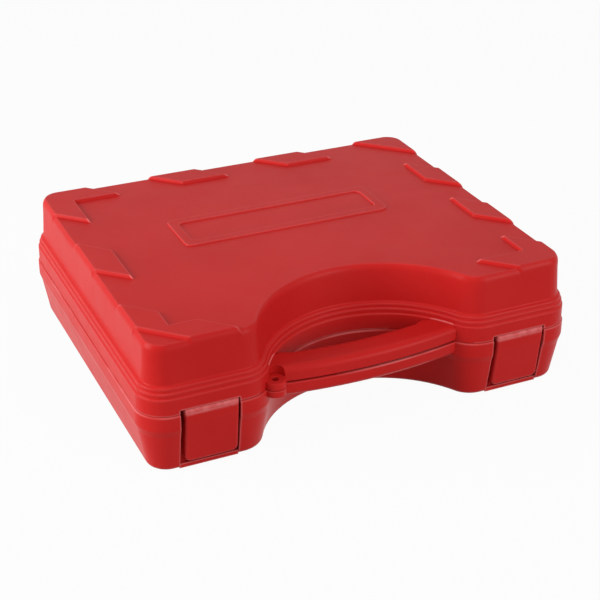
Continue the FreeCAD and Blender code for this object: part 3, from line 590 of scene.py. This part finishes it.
def row_of(shape, count, pitch):
    """Copies of a shape in a row along X, centred on it."""
    places_before = knuckle_rows.nodes.new("ShaderNodeMath")
    places_before.operation = "MULTIPLY_ADD"
    places_before.inputs[1].default_value = -0.5
    places_before.inputs[2].default_value = 0.5
    knuckle_rows.links.new(count, places_before.inputs[0])
    first = math_node(knuckle_rows, "MULTIPLY", places_before.outputs[0], pitch)
    line = knuckle_rows.nodes.new("GeometryNodeMeshLine")
    knuckle_rows.links.new(count, line.inputs["Count"])
    for label, value in (("Start Location", first), ("Offset", pitch)):
        place = knuckle_rows.nodes.new("ShaderNodeCombineXYZ")
        knuckle_rows.links.new(value, place.inputs["X"])
        knuckle_rows.links.new(place.outputs["Vector"], line.inputs[label])
    copies = knuckle_rows.nodes.new("GeometryNodeInstanceOnPoints")
    knuckle_rows.links.new(line.outputs["Mesh"], copies.inputs["Points"])
    knuckle_rows.links.new(shape, copies.inputs["Instance"])
    return copies.outputs["Instances"]


hinge_row = row_of(rows_in.outputs["Geometry"], rows_in.outputs["Barrels"], rows_in.outputs["Barrel pitch"])
hinge_row = row_of(hinge_row, rows_in.outputs["Hinges"], rows_in.outputs["Hinge pitch"])
row_mesh = knuckle_rows.nodes.new("GeometryNodeRealizeInstances")
knuckle_rows.links.new(hinge_row, row_mesh.inputs["Geometry"])
row_finish = knuckle_rows.nodes.new("GeometryNodeSetMaterial")
knuckle_rows.links.new(row_mesh.outputs["Geometry"], row_finish.inputs["Geometry"])
knuckle_rows.links.new(rows_in.outputs["Material"], row_finish.inputs["Material"])
knuckle_rows.links.new(row_finish.outputs["Geometry"], rows_out.inputs["Geometry"])

knuckle_edge = 0.0004
knuckle_sides = 40


def knuckles(name, barrels, root_y, root_z):
    """Barrels of one shell, each with the gusset that carries it."""
    mesh = bmesh.new()
    points = []
    for x in (-knuckle_length / 2, knuckle_length / 2):
        for i in range(knuckle_sides):
            turn = 2 * math.pi * i / knuckle_sides
            y = hinge_y + knuckle_radius * math.cos(turn)
            z = parting + knuckle_radius * math.sin(turn)
            points.append(mesh.verts.new((x, y, z)))
        points.append(mesh.verts.new((x, root_y - wall, root_z)))
        points.append(mesh.verts.new((x, root_y, root_z)))
    bmesh.ops.convex_hull(mesh, input=points)
    made = new_object(name, mesh)
    soften(made, knuckle_edge)
    rows = made.modifiers.new("rows", "NODES")
    rows.node_group = knuckle_rows
    values = {"Material": red_plastic, "Barrels": barrels, "Barrel pitch": 2 * knuckle_step,
              "Hinges": 2, "Hinge pitch": 2 * hinge_middle}
    for socket in knuckle_rows.interface.items_tree:
        if socket.name in values:
            rows[socket.identifier] = values[socket.name]
    settle(made)
    return made


base_knuckles = knuckles("base_knuckles", 2, rim_back, band_foot)

base_edge = 0.0006
sharp_turn = 50
soften(base_piece, base_edge, sharp_turn)
merge(base_piece, base_recesses, lower_grip, lower_ear, base_knuckles)
hand_over(base_piece, "base", "base_shell", red_plastic)


# Lid shell
# The upper half: skirt, stepped shoulder, drafted wall, rounded top edge, raised pads cut along one
# diagonal, and a low frame round a bare label field. Its top is one soft moulded surface.
case_height = 0.093
edge_radius = 0.0080
edge_turn = math.radians(45)
edge_run = edge_radius * (1 - math.cos(edge_turn))
edge_drop = edge_radius * math.sin(edge_turn)
edge_soft = 0.0003
lid_wall_head = 0.0070
lid_wall_inset = 0.0054
pad_band = 0.0285
pad_rise = 0.0022
pad_soft = 0.0004
pad_slope = 0.5
pad_overrun = 0.001
back_left_pad = (0.0375, 0.034)
front_right_pad = (0.035, 0.0255)
back_right_pad = 0.0545
front_left_gap = 0.0445
front_left_bar = 0.032
back_bar = 0.036
right_bar = 0.0325
left_bar = 0.043
flat_margin = 0.0012
label_half = (0.080, 0.0225)
label_middle = Vector((0.0, 0.0185))
label_ridge = 0.0065
label_rise = 0.0010
label_soft = 0.0002
label_radius = 0.005
rim_middle = (rim_front + rim_back) / 2
half_depth = (rim_back - rim_front) / 2


def pad_plans():
    """Pads as (outline, convex parts); a diagonal is named by x + y from the case's middle."""
    out_x, out_y = half_width + pad_overrun, half_depth + pad_overrun
    in_x, in_y = half_width - pad_band, half_depth - pad_band
    corner = half_depth - half_width
    left_end, back_start = corner - back_left_pad[0], corner + back_left_pad[1]
    front_end, right_start = -corner - front_right_pad[0], -corner + front_right_pad[1]
    back_right = half_depth + half_width - back_right_pad
    low = -half_depth - half_width + front_left_gap
    high = low + front_left_bar

    def back(diagonal, y):
        return diagonal - y, y

    def side(x, diagonal):
        return x, diagonal - x

    plans = [
        ([side(-out_x, left_end), side(-in_x, left_end), (-in_x, in_y), back(back_start, in_y),
          back(back_start, out_y), (-out_x, out_y)],
         [[side(-out_x, left_end), side(-in_x, left_end), (-in_x, out_y), (-out_x, out_y)],
          [(-out_x, in_y), back(back_start, in_y), back(back_start, out_y), (-out_x, out_y)]]),
        ([side(in_x, right_start), (in_x, -in_y), back(front_end, -in_y), back(front_end, -out_y),
          (out_x, -out_y), side(out_x, right_start)],
         [[side(in_x, right_start), (in_x, -out_y), (out_x, -out_y), side(out_x, right_start)],
          [back(front_end, -in_y), back(front_end, -out_y), (out_x, -out_y), (out_x, -in_y)]]),
        ([side(-out_x, low), back(low, -out_y), back(high, -out_y), back(high, -in_y), (-in_x, -in_y),
          side(-in_x, high), side(-out_x, high)],
         [[side(-out_x, low), side(-in_x, low), side(-in_x, high), side(-out_x, high)],
          [back(low, -in_y), back(low, -out_y), back(high, -out_y), back(high, -in_y)]]),
    ]
    convex = [[back(back_right, out_y), side(out_x, back_right), (out_x, out_y)]]

    def spaced(start, end, count, width):
        gap = (end - start - count * width) / (count + 1)
        firsts = [start + gap + i * (width + gap) for i in range(count)]
        return [(first, first + width) for first in firsts]

    for a, b in spaced(back_start, back_right, 2, back_bar):
        convex.append([back(a, in_y), back(b, in_y), back(b, out_y), back(a, out_y)])
    for a, b in spaced(right_start, back_right, 2, right_bar):
        convex.append([side(in_x, a), side(out_x, a), side(out_x, b), side(in_x, b)])
    for a, b in spaced(high, left_end, 1, left_bar):
        convex.append([side(-in_x, b), side(-out_x, b), side(-out_x, a), side(-in_x, a)])
    return plans + [(outline, [outline]) for outline in convex]


def edge_lines(outline):
    """Each edge of an outline that runs anticlockwise: a point on it and its outward normal."""
    lines = []
    for first, second in zip(outline, outline[1:] + outline[:1]):
        along = (Vector(second) - Vector(first)).normalized()
        lines.append((Vector(first), Vector((along.y, -along.x))))
    return lines


def moved_outline(outline, reach):
    """Outline with every edge moved outwards by reach."""
    lines = edge_lines(outline)
    corners = []
    for (p, n), (q, m) in zip(lines[-1:] + lines[:-1], lines):
        a, b = n.dot(p) + reach, m.dot(q) + reach
        cross = n.x * m.y - n.y * m.x
        corners.append(((a * m.y - b * n.y) / cross, (b * n.x - a * m.x) / cross))
    return corners


def soft_floor(value, soft):
    """The value where it is above zero, with the bend at zero rounded."""
    bent = (value + soft) ** 2 / (4 * soft)
    return numpy.where(value > soft, value, numpy.where(value < -soft, 0, bent))


def raised(distance, rise, soft):
    """Height of an island with sloping sides, from the distance outside its head."""
    return rise - soft_floor(rise - soft_floor(rise - distance / pad_slope, soft), soft)


def label_distance(x, y, shrink):
    """Distance outside the label frame's rounded outline, made smaller by shrink."""
    radius = label_radius
    across = numpy.abs(x - label_middle.x) - (label_half[0] - shrink - radius)
    along = numpy.abs(y - label_middle.y) - (label_half[1] - shrink - radius)
    outside = numpy.hypot(numpy.maximum(across, 0), numpy.maximum(along, 0))
    return outside + numpy.minimum(numpy.maximum(across, along), 0) - radius


pads = pad_plans()


def relief(x, y):
    """Height that the pads and the label frame add to the lid's top."""
    nearest = numpy.full(x.shape, 1.0)
    for outline, parts in pads:
        for part in parts:
            distance = numpy.full(x.shape, -1.0)
            for point, normal in edge_lines(part):
                reach = (x - point.x) * normal.x + (y - rim_middle - point.y) * normal.y
                distance = numpy.maximum(distance, reach)
            nearest = numpy.minimum(nearest, distance)
    frame_out = raised(label_distance(x, y, 0.0), label_rise, label_soft)
    frame_in = raised(-label_distance(x, y, label_ridge), label_rise, label_soft)
    return raised(nearest, pad_rise, pad_soft) + numpy.minimum(frame_out, frame_in)


def bend_steps(rise, soft):
    """Distances at which an island's side needs a line of vertices."""
    steps = [-soft - flat_margin, -soft, -soft / 3, soft / 3, soft, rise / 2]
    steps += [rise - soft, rise - soft / 3, rise + soft / 3, rise + soft, rise + soft + flat_margin]
    return [step * pad_slope for step in steps]


def top_loops():
    """Closed plan lines that the lid's top is divided along."""
    loops = []
    runs = [edge_run * share for share in (0, 0.1, 0.25, 0.42, 0.6, 0.76)]
    runs += [edge_run + edge_soft * share for share in (-1, -0.4, 0.2, 0.9, 2.5)]
    for run in runs:
        loops.append([point + inward * (lid_wall_head + run) for point, inward in rim])
    loops.append([point + inward * cap_inset for point, inward in rim])
    for outline, parts in pads:
        for reach in bend_steps(pad_rise, pad_soft):
            loops.append([Vector((x, y + rim_middle)) for x, y in moved_outline(outline, reach)])
    for shrink, way in ((0.0, 1), (label_ridge, -1)):
        for reach in bend_steps(label_rise, label_soft):
            grow = way * reach - shrink
            radius = label_radius + way * reach
            corners = []
            for sx, sy in ((1, 1), (-1, 1), (-1, -1), (1, -1)):
                corners.append((sx * (label_half[0] + grow), sy * (label_half[1] + grow), radius))
            loops.append([label_middle + point for point in rounded(corners, closed=True)])
    return loops


def rim_share(x, y):
    """Inset from the rim, and the place along the rim in stations, of plan points."""
    start = numpy.array([point for point, inward in rim])
    along = numpy.roll(start, -1, axis=0) - start
    spot = numpy.stack([x, y], axis=1)[:, None, :] - start[None]
    share = numpy.clip((spot * along).sum(2) / (along ** 2).sum(1), 0, 1)
    gap = numpy.hypot(*numpy.moveaxis(spot - share[..., None] * along, 2, 0))
    nearest = gap.argmin(1)
    rows = numpy.arange(len(x))
    return gap[rows, nearest], nearest + share[rows, nearest]


def inside_loop(x, y, loop):
    """Which plan points lie inside a closed line."""
    start = numpy.array(loop)
    end = numpy.roll(start, -1, axis=0)
    above = (start[None, :, 1] > y[:, None]) != (end[None, :, 1] > y[:, None])
    slope = (end[:, 0] - start[:, 0]) / numpy.where(end[:, 1] == start[:, 1], 1, end[:, 1] - start[:, 1])
    cross = start[None, :, 0] + (y[:, None] - start[None, :, 1]) * slope[None]
    return ((x[:, None] < cross) & above).sum(1) % 2 == 1


def lid_top(mesh):
    """The moulded top; returns its outer vertices in order and their rim stations."""
    scale = 1000.0
    spots, edges = [], []
    loops = top_loops()
    for loop in loops:
        first = len(spots)
        spots += [Vector(point) * scale for point in loop]
        edges += [(first + i, first + (i + 1) % len(loop)) for i in range(len(loop))]
    made = delaunay_2d_cdt(spots, edges, [], 0, 1e-5)
    plan = numpy.array(made[0]) / scale
    x, y = plan[:, 0], plan[:, 1]
    faces = numpy.array(made[2])
    middle = plan[faces].mean(1)
    faces = faces[inside_loop(middle[:, 0], middle[:, 1], loops[0])]
    inset, place = rim_share(x, y)
    lean = numpy.clip((lid_wall_head + edge_radius - inset) / edge_radius, 0, 1)
    on_edge = inset < lid_wall_head + 2e-6
    lean[on_edge] = 1
    arc = edge_radius * numpy.sqrt(1 - lean ** 2) - edge_drop
    z = case_height - soft_floor(-arc, edge_soft) + relief(x, y)
    used = numpy.unique(faces)
    verts = {}
    for i in used:
        verts[i] = mesh.verts.new((x[i], y[i], z[i]))
    for face in faces:
        mesh.faces.new([verts[i] for i in face])
    ends = sorted((i for i in used if on_edge[i]), key=lambda i: place[i])
    stations = []
    for i in ends:
        first = int(place[i]) % len(rim)
        share = place[i] - int(place[i])
        (p, n), (q, m) = rim[first], rim[(first + 1) % len(rim)]
        stations.append((p.lerp(q, share), n.lerp(m, share).normalized()))
    return [verts[i] for i in ends], stations


wall_top_draft = 0.0001
wall_top_run = 0.002
lid_wall_foot = 0.0650
upper_step_head = (0.0032, 0.0641)
upper_step_foot = (0.0030, 0.0614)
lower_step_head = (0.0020, 0.0607)
lower_step_foot = (0.0019, 0.0576)
skirt_head = (0.0010, 0.0569)
lip_width = 0.0009
shoulder_round = 0.0016
step_head_round = 0.0010
step_foot_round = 0.0008
skirt_inside = 0.0030
shoulder_inside = (0.0037, 0.0563)
wall_inside_foot = 0.0633

lid_mesh = bmesh.new()
top_ring, lid_stations = lid_top(lid_mesh)
lid_outside = rounded([
    (lid_wall_head - wall_top_draft, case_height - edge_drop - wall_top_run, 0),
    (lid_wall_inset, lid_wall_foot, shoulder_round),
    (*upper_step_head, shoulder_round),
    (*upper_step_foot, step_foot_round),
    (*lower_step_head, step_head_round),
    (*lower_step_foot, step_foot_round),
    (*skirt_head, step_head_round),
    (lip_width, lid_foot, land_edge),
    (land_width, lid_foot, land_edge),
    (land_width, lid_foot + wall, 0),
    (ledge_inset, lid_foot + wall, 0),
    (ledge_inset, lid_foot + 2 * wall, 0),
])
lid_inside = [
    (skirt_inside, lid_foot + 2 * wall),
    shoulder_inside,
    (lid_wall_inset + wall, wall_inside_foot),
    (lid_wall_head + wall, case_height - edge_drop),
    (lid_wall_head + wall + edge_run, case_height - wall),
    (cap_inset, case_height - wall),
]
lid_rings = sweep(lid_mesh, lid_stations, lid_outside + lid_inside)
skin(lid_mesh, [top_ring] + lid_rings)
lid_mesh.faces.new(lid_rings[-1])
lid_piece = new_object("lid_shell_moulding", lid_mesh)

lid_edge = 0.0005
crease_height = parting + 0.0030
lid_cutter = bmesh.new()
for side in (-1, 1):
    middle = side * latch_middle
    box_mesh(lid_cutter, (middle - recess_half, rim_front - over, lid_foot - over),
             (middle + recess_half, recess_back, crease_height))
    for step in (-1, 1):
        middle = side * hinge_middle + step * knuckle_step
        box_mesh(lid_cutter, (middle - knuckle_step / 2, rim_back - knuckle_room, lid_foot - over),
                 (middle + knuckle_step / 2, rim_back + over, parting + knuckle_room))
carve(lid_piece, new_object("lid_cutter", lid_cutter))
soften(lid_piece, lid_edge, sharp_turn)

upper_grip = bowed_bar("upper_grip", rounded([
    (handle_inner, lid_foot + grip_gap / 2, grip_groove),
    (handle_outer - grip_lip, lid_foot + grip_gap / 2, grip_groove),
    (handle_outer, handle_high, handle_round),
    (handle_inner, handle_high, handle_round),
], closed=True))
carve(upper_grip, lug_cutter(lid_foot - over, handle_high + over))
upper_ear = lug_ear("upper_ear", lid_foot, lid_foot + lug_thickness)
gusset_inset = 0.0012
gusset_top = 0.0551
lid_knuckles = knuckles("lid_knuckles", 1, rim_back - gusset_inset, gusset_top)
merge(lid_piece, upper_grip, upper_ear, lid_knuckles)
hand_over(lid_piece, "lid", "lid_shell", red_plastic)


# Latches
# Two flaps that fold at a thin crease under the lid's skirt and press down into the base's recesses.
# Each is a pillow with round edges and lower corners, with a painted highlight in a band under the crease.
latch_head = parting + 0.0026
latch_foot = 0.0052
latch_lean = 0.0042
latch_clearance = 0.0006
latch_back = recess_back - latch_clearance
flap_side_round = 0.0020
flap_head_round = 0.0016
flap_foot_round = 0.0024
flap_back_round = 0.0006
flap_corner = 0.0050
flap_straight = 0.008
flap_shift = 0.0010
# Heights of the painted highlight band under the crease.
crease_highlight_foot = latch_head - 0.0050
crease_highlight_full = latch_head - 0.0018


def arc_inset(reach, radius):
    """How far a quarter round has come in, at a reach from its end."""
    if reach >= radius:
        return 0.0
    return radius - math.sqrt(max(0.0, radius ** 2 - (radius - reach) ** 2))


def flap(name, middle):
    """Stack of level sections from the foot of a flap to its head."""
    mesh = bmesh.new()
    tall = latch_head - latch_foot
    steps = [flap_corner * (1 - math.cos(math.pi * i / 24)) for i in range(13)]
    steps += [flap_corner + (tall - flap_corner - flap_head_round) * i / 12 for i in range(1, 13)]
    steps += [tall - flap_head_round * (1 - math.sin(math.pi * i / 12)) for i in range(1, 7)]
    rings = []
    for up in steps:
        half = latch_half - arc_inset(up, flap_corner)
        lean = latch_lean * max(0.0, 1 - up / (tall - flap_straight))
        front = rim_front + lean + arc_inset(up, flap_foot_round) + arc_inset(tall - up, flap_head_round)
        section = rounded([
            (middle - half, front, flap_side_round), (middle + half, front, flap_side_round),
            (middle + half, latch_back, flap_back_round), (middle - half, latch_back, flap_back_round),
        ], closed=True)
        rings.append([mesh.verts.new((x, y, latch_foot + up)) for x, y in section])
    skin(mesh, rings)
    mesh.faces.new(rings[0])
    mesh.faces.new(rings[-1])
    return new_object(name, mesh)


crease_lit_plastic = moulded_material("polyethylene_with_painted_crease_highlight", red_colour, red_deep, red_roughness, red_grain,
                                highlight_and_flash_red)
fold_tree = crease_lit_plastic.node_tree
fold_base = fold_tree.nodes["Principled BSDF"].inputs["Base Color"]
fold_tone = fold_base.links[0].from_socket
fold_coords = fold_tree.nodes.new("ShaderNodeTexCoord").outputs["Object"]
fold_split = fold_tree.nodes.new("ShaderNodeSeparateXYZ")
fold_tree.links.new(fold_coords, fold_split.inputs["Vector"])
# Painted highlight: a patchy pale band under the crease, on top of the painted edge highlights.
crease_highlight_height = span_node(fold_tree, fold_split.outputs["Z"], crease_highlight_foot, crease_highlight_full, 0, 0.9)
crease_highlight_specks = noise_node(fold_tree, fold_coords, scale=220, detail=3)
crease_highlight_patches = span_node(fold_tree, crease_highlight_specks, 0.35, 0.6, 0.5, 1)
crease_highlight_mask = math_node(fold_tree, "MULTIPLY", crease_highlight_height, crease_highlight_patches)
fold_tree.links.new(mix_node(fold_tree, crease_highlight_mask, fold_tone, (*highlight_and_flash_red, 1)), fold_base)

for name, side in (("left_latch", -1), ("right_latch", 1)):
    latch_piece = flap(name + "_flap", side * latch_middle + flap_shift)
    hand_over(latch_piece, name, name, crease_lit_plastic)


# Steel, chrome, tray plastic and rubber
# Tools are satin chrome over turned or forged steel. The inner walls are black plastic with a coarser
# grain, and the grip and the sleeves in the plug sockets are soft black rubber.
def metal_material(name, colour, roughness, brushing):
    """Plated or turned metal, with fine turning marks and a little rubbing from handling."""
    material = bpy.data.materials.new(name)
    material.use_nodes = True
    tree = material.node_tree
    shader = tree.nodes["Principled BSDF"]
    shader.inputs["Metallic"].default_value = 1.0
    place = tree.nodes.new("ShaderNodeTexCoord").outputs["Object"]
    marks = noise_node(tree, place, scale=250, detail=3, stretch=(1, 1, 12))
    smudge = noise_node(tree, place, scale=40, detail=3)
    rough = span_node(tree, smudge, 0.3, 0.7, roughness - 0.05, roughness + 0.09)
    tree.links.new(rough, shader.inputs["Roughness"])
    dull = tuple(0.9 * channel for channel in colour)
    mark_share = span_node(tree, marks, 0.3, 0.7, 0, 1)
    tree.links.new(mix_node(tree, mark_share, (*colour, 1), (*dull, 1)), shader.inputs["Base Color"])
    bump = tree.nodes.new("ShaderNodeBump")
    bump.inputs["Strength"].default_value = brushing
    bump.inputs["Distance"].default_value = grain_depth
    tree.links.new(marks, bump.inputs["Height"])
    tree.links.new(bump.outputs["Normal"], shader.inputs["Normal"])
    return material


black_insert = moulded_material("black_insert", (0.014, 0.014, 0.015), (0.010, 0.010, 0.011), 0.50, 2.0)
grip_rubber = moulded_material("grip_rubber", (0.018, 0.018, 0.019), (0.012, 0.012, 0.012), 0.62, 2.0)
tool_chrome = metal_material("tool_chrome", (0.72, 0.73, 0.75), 0.20, 0.3)
plain_steel = metal_material("plain_steel", (0.45, 0.45, 0.46), 0.32, 0.6)
dark_steel = metal_material("dark_steel", (0.07, 0.07, 0.075), 0.36, 0.4)

finishes = {
    "insert_black": black_insert,
    "tool_chrome": tool_chrome,
    "plain_steel": plain_steel,
    "dark_steel": dark_steel,
    "grip_rubber": grip_rubber,
    "plug_rubber": grip_rubber,
}
slot_of = {part["node"]: part["material_slot"] for part in frame["record"]["subparts"]}
body_of = {}
for body, members in frame["record"]["behaviour"]["bodies"].items():
    for member in members:
        body_of[member] = body

flat_turn = math.radians(0.3)
for node, cad in frame["nodes"].items():
    if slot_of[node] not in finishes:
        continue
    copy_mesh = bmesh.new()
    copy_mesh.from_mesh(cad.data)
    bmesh.ops.remove_doubles(copy_mesh, verts=copy_mesh.verts, dist=1e-6)
    if slot_of[node] == "insert_black":
        bmesh.ops.dissolve_limit(copy_mesh, angle_limit=flat_turn, verts=copy_mesh.verts,
                                 edges=copy_mesh.edges)
    data = bpy.data.meshes.new(node + "_finished")
    copy_mesh.to_mesh(data)
    copy_mesh.free()
    piece = bpy.data.objects.new(node + "_finished", data)
    bpy.context.scene.collection.objects.link(piece)
    hand_over(piece, body_of[node], node, finishes[slot_of[node]], smooth=34)


# Floor, light and camera
# White paper that runs on into a white background, broad soft light from the left, the front right
# and above, and the photograph's view.
floor_half = 4.0
paper_glow = 0.955
paper_grey = 0.5
sky_light = 0.40


def white_floor():
    """Floor that shows white to the camera and keeps a faint shadow."""
    material = bpy.data.materials.new("white_paper")
    material.use_nodes = True
    tree = material.node_tree
    tree.nodes.remove(tree.nodes["Principled BSDF"])
    path = tree.nodes.new("ShaderNodeLightPath")
    seen = math_node(tree, "MAXIMUM", path.outputs["Is Camera Ray"], path.outputs["Is Glossy Ray"])
    share = tree.nodes.new("ShaderNodeMath")
    share.operation = "MULTIPLY"
    share.inputs[1].default_value = paper_glow
    tree.links.new(seen, share.inputs[0])
    paper = tree.nodes.new("ShaderNodeBsdfDiffuse")
    paper.inputs["Color"].default_value = (paper_grey, paper_grey, paper_grey, 1)
    glow = tree.nodes.new("ShaderNodeEmission")
    both = tree.nodes.new("ShaderNodeMixShader")
    tree.links.new(share.outputs[0], both.inputs["Fac"])
    tree.links.new(paper.outputs[0], both.inputs[1])
    tree.links.new(glow.outputs[0], both.inputs[2])
    tree.links.new(both.outputs[0], tree.nodes["Material Output"].inputs["Surface"])
    return material


floor_mesh = bmesh.new()
bmesh.ops.create_grid(floor_mesh, x_segments=1, y_segments=1, size=floor_half)
floor = new_object("floor", floor_mesh)
floor.data.materials.append(white_floor())

world = bpy.data.worlds.new("studio")
world.use_nodes = True
bpy.context.scene.world = world
sky = world.node_tree
path = sky.nodes.new("ShaderNodeLightPath")
seen = math_node(sky, "MAXIMUM", path.outputs["Is Camera Ray"], path.outputs["Is Glossy Ray"])
seen = math_node(sky, "MAXIMUM", seen, path.outputs["Is Transmission Ray"])
strength = span_node(sky, seen, 0, 1, sky_light, 1)
sky.links.new(strength, sky.nodes["Background"].inputs["Strength"])
sky.nodes["Background"].inputs["Color"].default_value = (1, 1, 1, 1)


def area_light(name, place, aim, size, power):
    """Soft square lamp at a place, turned towards a point."""
    lamp = bpy.data.lights.new(name, "AREA")
    lamp.size = size
    lamp.energy = power
    made = bpy.data.objects.new(name, lamp)
    bpy.context.scene.collection.objects.link(made)
    made.location = place
    made.rotation_euler = (Vector(aim) - Vector(place)).to_track_quat("-Z", "Y").to_euler()


area_light("left_softbox", (-1.35, 0.15, 0.5), (0, 0, 0.04), 0.8, 19)
area_light("top_softbox", (-0.3, -0.6, 1.3), (0, 0, 0.05), 0.45, 4.0)
area_light("front_softbox", (0.9, -1.45, 0.45), (0, 0, 0.04), 0.8, 11.5)

view_target = Vector((0.00106, -0.01833, 0.03975))
view_turn = math.radians(-24.47)
view_rise = math.radians(28.13)
view_distance = 1.02664
view_roll = math.radians(0.135)
camera_data = bpy.data.cameras.new("camera")
camera_data.sensor_width = 36.0
camera_data.lens = 83.55
camera = bpy.data.objects.new("camera", camera_data)
bpy.context.scene.collection.objects.link(camera)
level_run = math.cos(view_rise)
away = Vector((math.sin(view_turn) * level_run, -math.cos(view_turn) * level_run, math.sin(view_rise)))
camera.location = view_target + away * view_distance
camera.rotation_euler = (-away).to_track_quat("-Z", "Y").to_euler()
camera.rotation_euler.rotate_axis("Z", view_roll)
bpy.context.scene.camera = camera
bpy.context.scene.view_settings.view_transform = "Standard"
